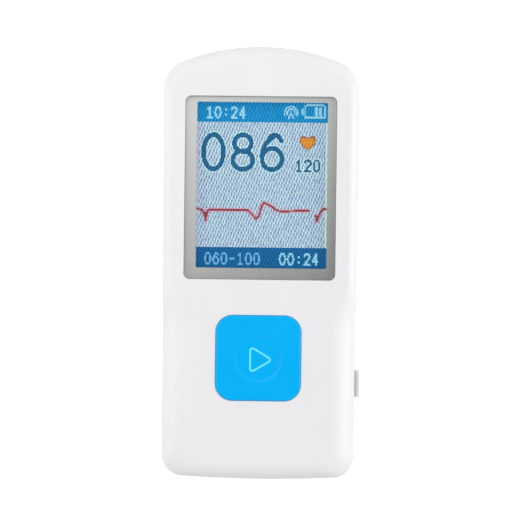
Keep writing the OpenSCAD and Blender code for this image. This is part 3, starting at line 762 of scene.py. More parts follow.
def border_print(name, w, slant=0.80, reach=0.0331):
    """Warm grey ink behind the window, with painted light and shade across it: lighter towards the
    upper left and darker towards the lower right, as light falling from the upper left would show
    it.
    """
    material, tree, shader = new_material(name, w.print_light, 0.4)
    centre, place = WINDOW.middle * MM, axes(tree, object_place(tree))
    across = math_node(tree, "SUBTRACT", place["X"], centre.x)
    along = math_node(tree, "SUBTRACT", place["Y"], centre.y)
    # painted light and shade: a slope across the border from its lit upper left to its shaded lower
    # right
    painted_light_slope = math_node(tree, "SUBTRACT", math_node(tree, "MULTIPLY", across, slant), along)
    speck = noise(tree, object_place(tree), 9000.0)
    # the painted light and shade, plus a fine random speck in the ink's tone
    painted_light_and_speck = math_node(tree, "ADD", spread(tree, painted_light_slope, -reach, reach),
                       spread(tree, speck, 0, 1, -0.06, 0.06))
    feed(tree, shader, {"Base Color": mixed(tree, painted_light_and_speck, w.print_light, w.print_dark)})
    bumped(tree, shader, speck, 0.000003)
    return material


def clear_window(name):
    """Clear hard-coated window."""
    material, tree, shader = new_material(name, (0.02, 0.024, 0.028), 0.06)
    smudge = use_group(tree, handling_smudge, Patch_Size=0.015, Streak_Size=0.0008)
    feed(tree, shader, {"Alpha": 0.07,
                        "Roughness": spread(tree, smudge["Mask"], 0, 1, 0.05, 0.16)})
    return material


def socket_steel(name, c, mouth):
    """Plated steel whose lips are bright and whose sleeve behind them is darker with painted shade,
    where it sits in the shadow of the opening beside the body.
    """
    steel = metal(name, c.bright, 0.5, (9000.0, 300.0, 9000.0))
    tree = steel.node_tree
    shader = tree.nodes["Principled BSDF"]
    brushed = shader.inputs["Base Color"].links[0].from_socket
    # painted shade: the steel goes darker towards the body and stays bright only on the lips
    lip = spread(tree, axes(tree, object_place(tree))["X"],
                 (mouth - 0.7) * MM, (mouth - 0.55) * MM)
    feed(tree, shader, {"Base Color": mixed(tree, lip, c.dull, brushed)})
    return steel


def board_mask(name, mask=(0.01, 0.11, 0.045), copper=(0.035, 0.22, 0.09)):
    """Green solder mask, paler over the copper tracks."""
    material, tree, shader = new_material(name, mask, 0.35)
    track = use_group(tree, board_tracks)["Track"]
    feed(tree, shader, {"Base Color": mixed(tree, track, mask, copper)})
    bumped(tree, shader, track, 0.00003)
    return material


# ---------------------------------------------------------------- repeats

def screws_at_points(name):
    """Geometry Nodes: one screw at every point, each turned by chance about its own axis."""
    tree, given, out = new_group(
        name, {"Geometry": "Geometry", "Screw": "Object", "Most Turn": math.pi / 2,
               "Seed": "Int", "Material": "Material"},
        {"Geometry": "Geometry"}, "GeometryNodeTree")
    screw = node(tree, "GeometryNodeObjectInfo", {"Object": given["Screw"]})
    turn = node(tree, "FunctionNodeRandomValue", {"Seed": given["Seed"]}, data_type="FLOAT")
    most = next(i for i, socket in enumerate(turn.inputs)
                if socket.name == "Max" and socket.type == "VALUE")
    feed(tree, turn, {most: given["Most Turn"]})
    angle = next(socket for socket in turn.outputs if socket.type == "VALUE" and socket.enabled)
    angles = node(tree, "ShaderNodeCombineXYZ", {"Z": angle})
    return with_ending(tree, given, out, screw.outputs["Geometry"], Rotation=angles.outputs[0])


def lit_dots(name):
    """Geometry Nodes: one thin tile at every lit dot of the display."""
    tree, given, out = new_group(
        name, {"Geometry": "Geometry", "Dot Width": 0.0002, "Dot Length": 0.0002,
               "Dot Thickness": 0.00002, "Material": "Material"},
        {"Geometry": "Geometry"}, "GeometryNodeTree")
    size = node(tree, "ShaderNodeCombineXYZ", {
        "X": given["Dot Width"], "Y": given["Dot Length"], "Z": given["Dot Thickness"]})
    tile = node(tree, "GeometryNodeMeshCube", {"Size": size.outputs[0]})
    return with_ending(tree, given, out, tile.outputs["Mesh"])


def with_ending(tree, given, out, instance, **turned):
    """Sets an instance on every point, makes it real and paints it, as both trees end."""
    places = node(tree, "GeometryNodeInstanceOnPoints",
                  {"Points": given["Geometry"], "Instance": instance, **turned})
    real = node(tree, "GeometryNodeRealizeInstances", {"Geometry": places.outputs["Instances"]})
    paint = node(tree, "GeometryNodeSetMaterial",
                 {"Geometry": real.outputs["Geometry"], "Material": given["Material"]})
    feed(tree, out, {"Geometry": paint.outputs["Geometry"]})
    return tree


def repeat(name, points, build, **values):
    """An object of points with a Geometry Nodes tree's result on it, as a plain mesh."""
    obj = new_object(name, points)
    grow = obj.modifiers.new("repeat", "NODES")
    grow.node_group = shared(build)
    sockets = {item.name: item.identifier for item in grow.node_group.interface.items_tree
               if item.item_type == "SOCKET" and item.in_out == "INPUT"}
    for label, value in values.items():
        grow[sockets[label.replace("_", " ")]] = value
    return evaluated_mesh(obj)


# ---------------------------------------------------------------- covers

# Sizes inside the covers that no setting changes, in millimetres
LEDGE_DEPTH = 0.5           # the window's ledge below the cover's ceiling
LEDGE_WIDE, LEDGE_TALL, LEDGE_CORNER = 2.5, 2.3, 2      # how far it reaches past the view
POCKET_FLOOR = 0.4          # the window pocket's floor above the ceiling
VIEW_ROOM, VIEW_CORNER = 0.3, 0.2       # the ledge's opening round the view
GUIDE_ROOM = 0.25           # room between the button's flange and its guide frame
FRAME_WALL, FRAME_DEPTH = 1, 0.8        # the guide frame, and how far it passes the flange
BOSS, COLUMN = 2.2, 2.4     # radii of the front cover's bosses and the rear cover's columns
PILOT, PILOT_DEPTH = 0.85, 4.5          # the screws' holes in the bosses, past the seam
SHANK_ROOM, STUD_ROOM, GROOVE_ROOM = 0.15, 0.05, 0.1    # round screws, studs and tongue
TONGUE_FOOT = 2             # where the tongue starts below the seam
COLUMN_FOOT = 0.5           # how far the columns reach into the rear wall
POCKET_LIP, KEY_LIP, PLATE_LIP, BORE_LIP = 0.08, 0.15, 0.12, 0.15       # rounded mouths
PALM_STUD_DOWN = 6          # how far the palm electrodes' studs are below their middles


class Undoable:
    """Every step here can be undone."""
    bl_options = {"REGISTER", "UNDO"}


def stud_place(name):
    """Where an electrode's stud is."""
    middle = ELECTRODES[name].middle
    return middle.x, middle.y - (0 if name == "electrode_chest" else PALM_STUD_DOWN)


class MONITOR_OT_front_cover(Undoable, bpy.types.Operator):
    """Build the front cover: rolled edges, window pocket, button opening, inner frame and bosses"""
    bl_idname = "monitor.front_cover"
    bl_label = "Front cover"

    def execute(self, context):
        s, w, b = (in_mm(context, f"monitor_{group}") for group in ("shell", "window", "button"))
        housing = Housing(s)
        rings = [level(housing.inset(inward), s.seam_height + up)
                 for up, inward in quarter(s.lip, 4)]
        rings += [housing.front_ring(0, theta) for theta in np.linspace(0, 90, 16)]
        cover = closed_mesh("cover_front", rings)
        hollow = [level(housing.inset(s.wall), s.seam_height - PAST)]
        hollow += [housing.front_ring(s.wall, theta) for theta in np.linspace(0, 90, 8)]
        cut(cover, closed_mesh("cutter", hollow))

        ceiling = s.thickness - s.wall
        ledge = ceiling - LEDGE_DEPTH
        view_w = WINDOW.size.x - w.border_left - w.border_right
        view_l = WINDOW.size.y - w.border_top - w.border_bottom
        view = (WINDOW.middle.x + (w.border_left - w.border_right) / 2,
                WINDOW.middle.y + (w.border_bottom - w.border_top) / 2)
        key = (0, KEY.middle.y)
        guide = b.width + 2 * (b.flange + GUIDE_ROOM)
        add(cover,
            prism(rounded(view_w + 2 * LEDGE_WIDE, view_l + 2 * LEDGE_TALL, LEDGE_CORNER, view),
                  ledge, ceiling + BITE),
            prism(rounded(guide, guide, b.corner + 1, key, FRAME_WALL),
                  KEY.low.z - FRAME_DEPTH, ceiling + BITE),
            *[rod(x, y, BOSS, s.seam_height, ceiling + BITE) for x, y in housing.screws()])
        cut(cover,
            prism(housing.inset(s.wall - s.tongue_wall - GROOVE_ROOM), s.seam_height - PAST,
                  s.seam_height + s.tongue_height + GROOVE_ROOM),
            opening(lambda grow: WINDOW.outline(w.corner, w.gap + grow),
                    ceiling + POCKET_FLOOR, s.thickness, POCKET_LIP),
            prism(rounded(view_w, view_l, VIEW_CORNER, view, VIEW_ROOM), ledge - PAST, s.thickness),
            opening(lambda grow: rounded(b.width, b.width, b.corner, key, b.gap + grow, 20),
                    0, s.thickness, KEY_LIP),
            prism(rounded(guide, guide, b.corner + 1, key), 0, ceiling),
            *[rod(x, y, PILOT, 0, s.seam_height + PILOT_DEPTH) for x, y in housing.screws()],
            housing.socket_opening())
        finished(cover, plastic("white_plastic", s.plastic), "housing",
                 ["front_cover"])
        return {"FINISHED"}


class MONITOR_OT_rear_cover(Undoable, bpy.types.Operator):
    """Build the rear cover: rolled edges, tongue, electrode recesses, counterbores and columns"""
    bl_idname = "monitor.rear_cover"
    bl_label = "Rear cover"

    def execute(self, context):
        s, r = in_mm(context, "monitor_shell"), in_mm(context, "monitor_rear")
        housing = Housing(s)
        rings = [housing.rear_ring(0, 0, theta) for theta in np.linspace(90, 0, 14)]
        rings += [level(housing.inset(inward), s.seam_height - s.seam_gap - down)
                  for inward, down in quarter(s.lip, 4)]
        cover = closed_mesh("cover_rear", rings)
        hollow = [housing.rear_ring(s.wall, s.rear_wall, theta)
                  for theta in np.linspace(90, 0, 8)]
        hollow.append(level(housing.inset(s.wall), s.seam_height + PAST))
        cut(cover, closed_mesh("cutter", hollow))

        foot, top = s.seam_height - TONGUE_FOOT, s.seam_height + s.tongue_height
        tongue = prism(housing.inset(s.wall - s.tongue_wall), foot, top)
        cut(tongue, prism(housing.inset(s.wall), foot - PAST, top + PAST))
        add(cover, tongue, *[rod(x, y, COLUMN, s.rear_wall - COLUMN_FOOT, s.seam_height)
                             for x, y in housing.screws()])
        for box in ELECTRODES.values():
            cut(cover, flipped(opening(
                lambda grow: box.outline(r.plate_corner, r.plate_gap + grow),
                -box.low.z - r.plate_wall, 0, PLATE_LIP)))
        for x, y in housing.screws():
            cut(cover,
                flipped(opening(lambda grow: disc(x, y, r.bore_radius + grow),
                                -r.bore_depth, 0, BORE_LIP)),
                rod(x, y, r.shank_radius + SHANK_ROOM, 0, s.seam_height + PAST))
        cut(cover, *[rod(*stud_place(name), r.stud_radius + STUD_ROOM, 0, s.rear_wall + PAST)
                     for name in ELECTRODES],
            housing.socket_opening())
        finished(cover, plastic("white_plastic", s.plastic), "housing",
                 ["rear_cover"])
        return {"FINISHED"}


# ---------------------------------------------------------------- window and picture

class MONITOR_OT_window(Undoable, bpy.types.Operator):
    """Build the clear window with its rounded edge and paint the border behind it"""
    bl_idname = "monitor.window"
    bl_label = "Window"

    def execute(self, context):
        w = in_mm(context, "monitor_window")
        rings = [level(WINDOW.outline(w.corner), WINDOW.low.z + w.print_room)]
        rings += [level(WINDOW.outline(w.corner, -inward), WINDOW.high.z - down)
                  for inward, down in quarter(w.edge, 6)]
        finished(closed_mesh("window_pane", rings), clear_window("clear_window"), "housing",
                 ["display_window"])
        # the border's grey ink is painted with light and shade across it
        repaint("window_border", border_print("border_print", w))
        return {"FINISHED"}


def line(*points):
    return np.array(points, float)


# The strokes of each sign in a box of one by one, upwards
NUMBER_STROKES = {
    "0": [ellipse(0.5, 0.5, 0.5, 0.5)],
    "1": [line((0.15, 0.8), (0.5, 1), (0.5, 0)), line((0.15, 0), (0.85, 0))],
    "2": [np.vstack([ellipse(0.5, 0.72, 0.5, 0.28, 165, -20), line((0, 0), (1, 0))])],
    "3": [ellipse(0.47, 0.76, 0.45, 0.24, 155, -90), ellipse(0.47, 0.26, 0.53, 0.26, 90, -160)],
    "4": [line((0.75, 0), (0.75, 1), (0, 0.3), (1, 0.3))],
    "5": [np.vstack([line((0.9, 1), (0.1, 1), (0.05, 0.55)),
                     ellipse(0.45, 0.31, 0.53, 0.31, 130, -150)])],
    "6": [ellipse(0.5, 0.31, 0.5, 0.31), ellipse(0.98, 0.4, 0.98, 0.6, 185, 118),
          ellipse(0.62, 0.72, 0.36, 0.28, 140, 25)],
    "7": [line((0, 1), (1, 1), (0.38, 0))],
    "8": [ellipse(0.5, 0.76, 0.43, 0.24), ellipse(0.5, 0.27, 0.5, 0.27)],
    "9": [ellipse(0.5, 0.69, 0.5, 0.31), ellipse(0.02, 0.6, 0.98, 0.6, 5, -62),
          ellipse(0.38, 0.28, 0.36, 0.28, -40, -155)],
    "-": [line((0.1, 0.5), (0.9, 0.5))],
    ":": [line((0.5, 0.24), (0.5, 0.26)), line((0.5, 0.72), (0.5, 0.74))],
}


# Column and row of the upper left corner, width, height and step of each line of numbers, in dots
PLACES = {"reading": (6.2, 31.4, 19.6, 33.4, 28.8), "limit": (97.5, 55.4, 5.6, 10.4, 8.6),
          "clock": (9.4, 4.6, 5.2, 10.4, 8.0), "timer": (82.4, 145.8, 5.2, 10.4, 8.0),
          "span": (9.0, 145.8, 5.2, 10.4, 8.0)}


def written(p, name):
    """The strokes of one of the settings' lines of numbers, in dots."""
    column, row, width, height, step = PLACES[name]
    return [np.column_stack([column + i * step + stroke[:, 0] * width,
                             row + (1 - stroke[:, 1]) * height])
            for i, sign in enumerate(getattr(p, name)) for stroke in NUMBER_STROKES[sign]]


class DotGrid:
    """The display's dots: their places and how far each lies from a set of strokes."""

    def __init__(self, p, low, high, top):
        self.p, self.low, self.high, self.top = p, low, high, top
        self.pitch_x = (high[0] - low[0]) / p.columns
        self.pitch_y = (high[1] - low[1]) / p.rows
        column, row = np.meshgrid(np.arange(p.columns) + 0.5, np.arange(p.rows) + 0.5)
        self.centres = np.column_stack([column.ravel(), row.ravel()])

    def away(self, strokes):
        """Distance from every dot's centre to the nearest stroke, in dots."""
        nearest = np.full(len(self.centres), 1e9)
        for stroke in strokes:
            for a, b in zip(stroke[:-1], stroke[1:]):
                along = b - a
                t = np.clip((self.centres - a) @ along / max(along @ along, 1e-9), 0, 1)
                gap = np.linalg.norm(self.centres - a - t[:, None] * along, axis=1)
                nearest = np.minimum(nearest, gap)
        return nearest

    def inside_heart(self, width, height, column=108.5, row=39.9):
        """Which dots lie inside a heart of this size round a middle."""
        x = (self.centres[:, 0] - column) / (width / 2) * 1.2
        y = (row - self.centres[:, 1]) / (height / 2) * 1.2 + 0.05
        return 2.2 * x ** 2 * y ** 3 - (x ** 2 + y ** 2 - 1) ** 3 > 0

    def piece(self, name, mask, layer, material):
        """Thin tiles on the dots in the mask, as a piece lying on the given layer."""
        p = self.p
        chosen = self.centres[mask]
        places = np.column_stack([self.low[0] + chosen[:, 0] * self.pitch_x,
                                  self.high[1] - chosen[:, 1] * self.pitch_y,
                                  np.full(len(chosen), self.top + (layer + 0.5) * p.layer)])
        obj = repeat(name, places * MM, lit_dots, Dot_Width=self.pitch_x * p.dot_share * MM,
                     Dot_Length=self.pitch_y * p.dot_share * MM, Dot_Thickness=p.layer * MM,
                     Material=material)
        return placed(obj, material, "housing")

    def panel(self, name, row_low, row_high, layer, material, past=0.0):
        """A thin closed panel over some of the rows."""
        p = self.p
        x0, x1 = self.low[0] - past, self.high[0] + past
        y0 = self.high[1] - row_high * self.pitch_y - (past if row_high == p.rows else 0)
        y1 = self.high[1] - row_low * self.pitch_y + (past if row_low == 0 else 0)
        z = self.top + layer * p.layer
        shape = rounded(x1 - x0, y1 - y0, 0.1, ((x0 + x1) / 2, (y0 + y1) / 2), steps=4)
        panel = closed_mesh(name, [level(shape, z), level(shape, z + p.layer)])
        return finished(panel, material, "housing")


class MONITOR_OT_picture(Undoable, bpy.types.Operator):
    """Build the picture on the display: field, bars, numbers, signs, heart and trace"""
    bl_idname = "monitor.picture"
    bl_label = "Display picture"

    def execute(self, context):
        p, w = in_mm(context, "monitor_picture"), in_mm(context, "monitor_window")
        grid = DotGrid(p, (WINDOW.low.x + w.border_left, WINDOW.low.y + w.border_bottom),
                       (WINDOW.high.x - w.border_right, WINDOW.high.y - w.border_top),
                       GLASS.high.z)
        first_row, last_row = 19, 140       # of the field, between the two bars
        grid.panel("picture_field", 0, p.rows, 0,
                   lit("lit_field", p.field_dark, p.field_light, p.field_lilac), past=0.3)
        grid.panel("picture_top_bar", 0, first_row, 1, flat_lit("lit_top_bar", p.top_bar, 0.42))
        grid.panel("picture_low_bar", last_row, p.rows, 1,
                   flat_lit("lit_low_bar", p.bottom_bar, 0.42))

        # Each mask takes the dots that lie within so many dots of its strokes
        column, row = grid.centres.T
        trace = grid.away(self.trace())
        between = (row > first_row) & (row < last_row) & (trace >= 1.9)
        reading, limit = grid.away(written(p, "reading")), grid.away(written(p, "limit"))
        numbers = (reading < 2.35) | (limit < 1.05)
        glow = ((reading < 3.4) | (limit < 2.1)) & ~numbers
        signs = ((grid.away(written(p, "clock") + written(p, "timer")) < 0.95)
                 | (grid.away(self.radio()) < 0.7) | (grid.away(self.battery()) < 1.0))
        span = grid.away(written(p, "span")) < 0.72
        heart, heart_edge = grid.inside_heart(12.6, 11.4), grid.inside_heart(15.4, 14.0)
        for name, mask, layer, tint, contrast in (
                ("trace", trace < 0.9, 1, p.trace, 0.25),
                ("trace_glow", (trace >= 0.9) & (trace < 1.9), 1, p.trace_glow, 0.2),
                ("left_edge", between & (column < 2), 1, p.edge_lilac, 0.15),
                ("right_edge", between & (column > p.columns - 2), 1, p.edge_pale, 0.15),
                ("numbers", numbers, 1, p.number_blue, 0.3),
                ("number_glow", glow, 1, p.number_glow, 0.2),
                ("signs", signs, 2, p.sign_pale, 0.12),
                ("span", span, 2, p.span_pale, 0.12),
                ("heart", heart, 1, p.heart, 0.25),
                ("heart_edge", heart_edge & ~heart, 1, p.heart_edge, 0.12)):
            grid.piece(f"picture_{name}", mask, layer, flat_lit(f"lit_{name}", tint, contrast))
        return {"FINISHED"}

    def radio(self):
        """Two arcs over a small mast."""
        x, y = 91.8, 9.8
        return [ellipse(x, y, 6.4, 6.2, -200, 20), ellipse(x, y, 4.0, 3.9, -205, 25),
                line((x, y), (x - 2.2, y + 5.2)), line((x, y), (x + 2.2, y + 5.2)),
                line((x, y - 1.2), (x, y + 2))]

    def battery(self):
        """A battery sign with its nub at the left and two bars at the right."""
        shape = rounded(19.4, 12.0, 1.6, steps=3) + (115.2, 8.4)
        bars = [line((c, 5.2), (c, 11.6)) for c in (116.2, 117.2, 120.4, 121.4)]
        return [np.vstack([shape, shape[:1]]), line((103.4, 6.2), (103.4, 10.6)), *bars]

    def trace(self):
        """The heart trace as straight runs between its turns, in dots."""
        base = 104.0
        first = line((0.4, base - 0.8), (5.6, base), (8.0, 108.5), (9.2, 114.6), (9.8, 109.0),
                     (11.2, base + 0.6), (16.5, base - 0.3), (51, base + 0.3), (55, 108.6),
                     (58.6, 112.4), (61.4, 109.6), (64.2, 99.4), (66.5, 96.7), (69.6, 98.2),
                     (73.8, 100.2), (78.4, base), (84, base + 0.9), (110, base - 0.2))
        second = line((117.2, 108.6), (118.2, 114.2), (119.6, 109.4), (122.4, 104.6),
                      (125.2, 101.6), (127.4, 102.6))
        return [first, second, line((8.6, 106.5), (9.2, 113.4), (10.6, 105.6)),
                line((117.8, 109.6), (118.4, 113))]


# ---------------------------------------------------------------- button

def around(radius_at, count):
    """Points round a shape given by its radius at each angle."""
    angles = np.arange(count) * 2 * math.pi / count
    radii = np.array([radius_at(angle) for angle in angles])
    return np.column_stack([radii * np.cos(angles), radii * np.sin(angles)])


def rounded_square_radius(half, corner):
    """The distance from the middle to a rounded square's edge, as a function of the angle."""
    flat = half - corner

    def radius(angle):
        c, s = abs(math.cos(angle)), abs(math.sin(angle))
        big, small = max(c, s), min(c, s)
        if half * small / big <= flat:
            return half / big
        middle = flat * (big + small)
        return middle + math.sqrt(max(middle ** 2 - 2 * flat ** 2 + corner ** 2, 0))
    return radius


class MONITOR_OT_button(Undoable, bpy.types.Operator):
    """Build the square button with its finger dish, flange and hollow, and its printed mark"""
    bl_idname = "monitor.button"
    bl_label = "Button"

    def execute(self, context):
        b = in_mm(context, "monitor_button")
        top, low = KEY.high.z, KEY.low.z
        count, chamfer = 224, 0.1

        def square(grow):
            return around(rounded_square_radius(b.width / 2 + grow, b.corner + grow), count)

        rings = [level(square(0), low + b.flange_height / 2)]
        rings += [level(square(-inward), top - down) for inward, down in quarter(b.edge, 9)]
        inner, rim = square(-b.edge), disc(0, 0, b.dish_radius + 0.7, count)
        rings += [level(mix(inner, rim, t), top) for t in (0.35, 0.7, 1.0)]
        rings += [level(disc(0, 0, radius, count), top - self.dish(b, radius))
                  for radius in (*np.arange(6.1, 4.5, -0.1), 4.2, 3.5, 2.8, 2.1, 1.4, 0.7, 0.2)]
        key = closed_mesh("key_top", rings)
        high = low + b.flange_height
        add(key, closed_mesh("flange", [level(square(b.flange - inward), z) for inward, z in (
            (chamfer, low), (0, low + chamfer), (0, high - chamfer), (chamfer, high))]))

        hollow, roof = b.width - 2 * b.skirt, top - b.roof
        cut(key, prism(rounded(hollow, hollow, b.corner - 1), low - PAST, roof))
        add(key, *[prism(rounded(wide, tall, 0.1, steps=2), low + 0.3, roof + BITE)
                   for wide, tall in ((hollow + 2 * BITE, 1), (1, hollow + 2 * BITE))],
            rod(0, 0, 2, PLUNGER.high.z + 0.05, roof + 0.2))
        blue = plastic("blue_plastic", b.blue, roughness=0.3, tone=0.97, specular=0.13)
        ink = plastic("mark_print", b.mark, roughness=0.5, grain=0.0001, tone=0.94)
        for obj, material, replaces, sharp in ((key, blue, ["measure_button"], 24),
                                               (self.mark(b, top), ink, (), 28)):
            obj.data.transform(Matrix.Translation((0, KEY.middle.y, 0)))
            finished(obj, material, "button", replaces, sharp)
        return {"FINISHED"}

    def dish(self, b, radius):
        """Depth of the finger dish at a distance from its middle, with a soft rim."""
        bowl = b.dish_depth - b.rim_step
        ball = (b.dish_radius ** 2 + bowl ** 2) / (2 * bowl)
        deep = max(0.0, math.sqrt(ball ** 2 - radius ** 2) - (ball - bowl))
        return deep + b.rim_step * float(ease((b.dish_radius - radius) / b.rim_width))

    def mark(self, b, top):
        """The printed triangle's line, lying on the dish."""
        corners = np.array([(-1.85, -3.33), (3.2, -0.36), (-1.85, 2.68)])
        bend, sunk, ink = 0.55, -0.026, 0.014       # middle of the corners, bottom and face

        def ring(radius, raised):
            points = []
            for before, corner, after in zip(np.roll(corners, 1, axis=0), corners,
                                             np.roll(corners, -1, axis=0)):
                u, v = (side / np.linalg.norm(side) for side in (before - corner, after - corner))
                opened = math.acos(np.clip(u @ v, -1, 1))
                bisector = (u + v) / np.linalg.norm(u + v)
                start = math.degrees(math.atan2(u[0], -u[1]))
                points.append(arc(corner + bisector * bend / math.sin(opened / 2), radius,
                                  start, start + 180 - math.degrees(opened), 10, last=True))
            loop = self.finer(np.vstack(points))
            away = np.linalg.norm(loop, axis=1)
            return np.column_stack([loop, [top - self.dish(b, r) + raised for r in away]])

        outer, inner = bend + b.mark_stroke / 2, bend - b.mark_stroke / 2
        rings = [ring(outer, sunk), ring(outer, ink), ring(inner, ink), ring(inner, sunk)]
        return new_object("key_mark", np.vstack(rings), skin(rings, closed=True))

    def finer(self, loop, pieces=12):
        """The loop with its long straight runs cut into short ones."""
        points = []
        for a, b in zip(loop, np.roll(loop, -1, axis=0)):
            parts = pieces if np.linalg.norm(b - a) > 1 else 1
            points += [mix(a, b, i / parts) for i in range(parts)]
        return np.array(points)


# ---------------------------------------------------------------- socket, electrodes, screws

class MONITOR_OT_socket(Undoable, bpy.types.Operator):
    """Build the charging socket's shell with its slanted corners and flared lips"""
    bl_idname = "monitor.socket"
    bl_label = "Charging socket"

    def execute(self, context):
        c = in_mm(context, "monitor_socket")
        mouth = SOCKET.high.x
        back, chamfer, lip = mouth - c.depth, 0.1, 0.06

        def ring(x, grow, inner):
            w, h, r = c.width / 2 + grow - inner, c.height + grow - inner, c.corner
            profile = np.vstack([
                [(c.slant - w, inner), (w - c.slant, inner), (w, inner + c.slant)],
                arc((w - r, h - r), r, 0, 90, 6), [(w - r, h)],
                arc((r - w, h - r), r, 90, 180, 6), [(-w, h - r)], [(-w, inner + c.slant)]])
            return upright(profile, x, SOCKET.middle.y, SOCKET.low.z)

        flared = [(mouth - c.flare_length * (1 - t), c.flare * t ** 1.6)
                  for t in (0, 0.25, 0.5, 0.75, 0.9)]
        shell = closed_mesh("socket_shell", [
            ring(back, 0, chamfer), ring(back + chamfer, 0, 0),
            *[ring(x, grow, 0) for x, grow in flared],
            ring(mouth, c.flare, lip), ring(mouth, c.flare, c.wall - lip),
            *[ring(x, grow, c.wall) for x, grow in flared[::-1]],
            ring(back + c.wall, 0, c.wall)])
        # the shell's steel carries painted shade on its sleeve next to the body
        finished(shell, socket_steel("socket_steel", c, mouth), "housing",
                 ["port_shell"])
        return {"FINISHED"}


class MONITOR_OT_electrodes(Undoable, bpy.types.Operator):
    """Build the three steel electrodes with their rounded edges and studs"""
    bl_idname = "monitor.electrodes"
    bl_label = "Electrodes"

    def execute(self, context):
        r = in_mm(context, "monitor_rear")
        steel = metal("electrode_steel", (0.62, 0.63, 0.645), 0.3, (200.0, 7000.0, 7000.0))
        for name, box in ELECTRODES.items():
            rings = [level(box.outline(r.plate_corner, -inward), box.low.z + up)
                     for inward, up in quarter(r.plate_edge, 6)[::-1]]
            rings.append(level(box.outline(r.plate_corner), box.low.z + r.plate_wall))
            plate = closed_mesh(f"{name}_plate", rings)
            add(plate, rod(*stud_place(name), r.stud_radius, box.low.z + r.plate_wall / 2,
                           box.high.z))
            finished(plate, steel, "housing", [name])
        return {"FINISHED"}


class MONITOR_OT_screws(Undoable, bpy.types.Operator):
    """Set the four cover screws, each with a cross recess turned its own way"""
    bl_idname = "monitor.screws"
    bl_label = "Cover screws"

    def execute(self, context):
        r, s = in_mm(context, "monitor_rear"), in_mm(context, "monitor_shell")
        box = Box("cover_screws")
        screw = smoothed(self.one_screw(r, box.size.z), 30)
        places = [(x * MM, y * MM, box.low.z * MM) for x, y in Housing(s).screws()]
        steel = metal("screw_steel", (0.55, 0.56, 0.57), 0.34, (2500.0, 2500.0, 2500.0))
        screws = repeat("cover_screw_set", places, screws_at_points, Screw=screw, Seed=r.seed,
                        Material=steel)
        bpy.data.objects.remove(screw)
        placed(screws, steel, "housing", ["cover_screws"])
        return {"FINISHED"}

    def one_screw(self, r, tall):
        """A pan-head screw standing on its head at the origin, with a tapered cross recess."""
        profile = [(0.45, 0), (r.head_radius - 0.35, 0.02), (r.head_radius - 0.12, 0.12),
                   (r.head_radius, 0.4), (r.head_radius, r.head_height),
                   (r.shank_radius, r.head_height), (r.shank_radius, tall - 0.5),
                   (r.shank_radius * 0.6, tall)]
        screw = closed_mesh("screw", [level(disc(0, 0, radius, 40), z) for radius, z in profile])
        for turn in (0, 90):
            arm = closed_mesh("cutter", [
                level(rounded(2 * half, wide, 0.05, steps=2), z)
                for half, wide, z in ((1.05, 0.42, -0.5), (1.05, 0.42, 0), (0.4, 0.26, 0.65))])
            arm.data.transform(Matrix.Rotation(math.radians(turn), 4, "Z"))
            cut(screw, arm)
        return screw


# ---------------------------------------------------------------- inner pieces

def repaint(name, material):
    """Gives a CAD node a new material in each of its slots."""
    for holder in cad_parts[name].material_slots:
        holder.material = material


class MONITOR_OT_inner_parts(Undoable, bpy.types.Operator):
    """Paint the pieces inside the housing"""
    bl_idname = "monitor.inner_parts"
    bl_label = "Inner parts"

    def execute(self, context):
        black = plastic("black_plastic", (0.012, 0.012, 0.014), 0.45)
        foam = plastic("black_foam", (0.01, 0.01, 0.011), 0.85, grain=0.0006, depth=0.00005)
        pale = plastic("pale_plastic", (0.71, 0.67, 0.55), 0.45)
        tape = plastic("white_tape", (0.78, 0.77, 0.72), 0.6, grain=0.0008, depth=0.00002)
        ceramic = plastic("brown_ceramic", (0.17, 0.09, 0.045), 0.5, grain=0.0002, tone=0.8)
        film = plastic("amber_film", (0.42, 0.16, 0.02), 0.25, grain=0.002, tone=0.85)
        glass = plastic("display_glass", (0.10, 0.12, 0.15), 0.12, grain=0.002, depth=0.000001)
        diffuser = plastic("frosted_sheet", (0.8, 0.8, 0.77), 0.6, grain=0.0002)
        red = plastic("red_lead", (0.45, 0.02, 0.015), 0.4, grain=0.0008)
        dark = plastic("black_lead", (0.015, 0.015, 0.015), 0.4, grain=0.0008)
        steel = metal("sheet_steel", (0.55, 0.56, 0.57), 0.35, (3000.0, 200.0, 3000.0))
        foil = metal("battery_foil", (0.5, 0.52, 0.55), 0.4, (600.0, 600.0, 600.0), 0.00002)
        gold = metal("gold_plate", (0.8, 0.55, 0.2), 0.25, (3000.0, 3000.0, 600.0))
        for material, names in (
                (black, ("window_tape", "switch_body", "port_tongue", "processor_chip",
                         "heart_signal_chip", "charge_chip")),
                (steel, ("display_tray", "radio_module", "crystal", "electrode_washers",
                         "board_screws")),
                (pale, ("flex_connector", "switch_plunger", "battery_socket")),
                (tape, ("display_pad", "battery_tape")),
                (foam, ("display_gasket",)), (glass, ("display_glass",)),
                (diffuser, ("display_backlight",)), (film, ("display_flex",)),
                (board_mask("board_mask"), ("circuit_board",)), (ceramic, ("small_parts",)),
                (foil, ("battery_pack",)), (red, ("battery_lead_red",)),
                (dark, ("battery_lead_black",)), (gold, ("contact_pins",))):
            for name in names:
                repaint(name, material)
        return {"FINISHED"}


# ---------------------------------------------------------------- stage

# Place and size of each soft light in metres, and its power in watts
LIGHTS = {"above": ((-0.20, 0.25, 0.45), (0.4, 0.4), 0.66),
          "left": ((-0.34, 0.03, 0.17), (0.3, 0.35), 0.40),
          "right": ((0.68, 0.05, 0.31), (0.5, 0.7), 2.75),
          "foot": ((0.0, -0.6, 0.12), (0.7, 0.4), 0.25)}


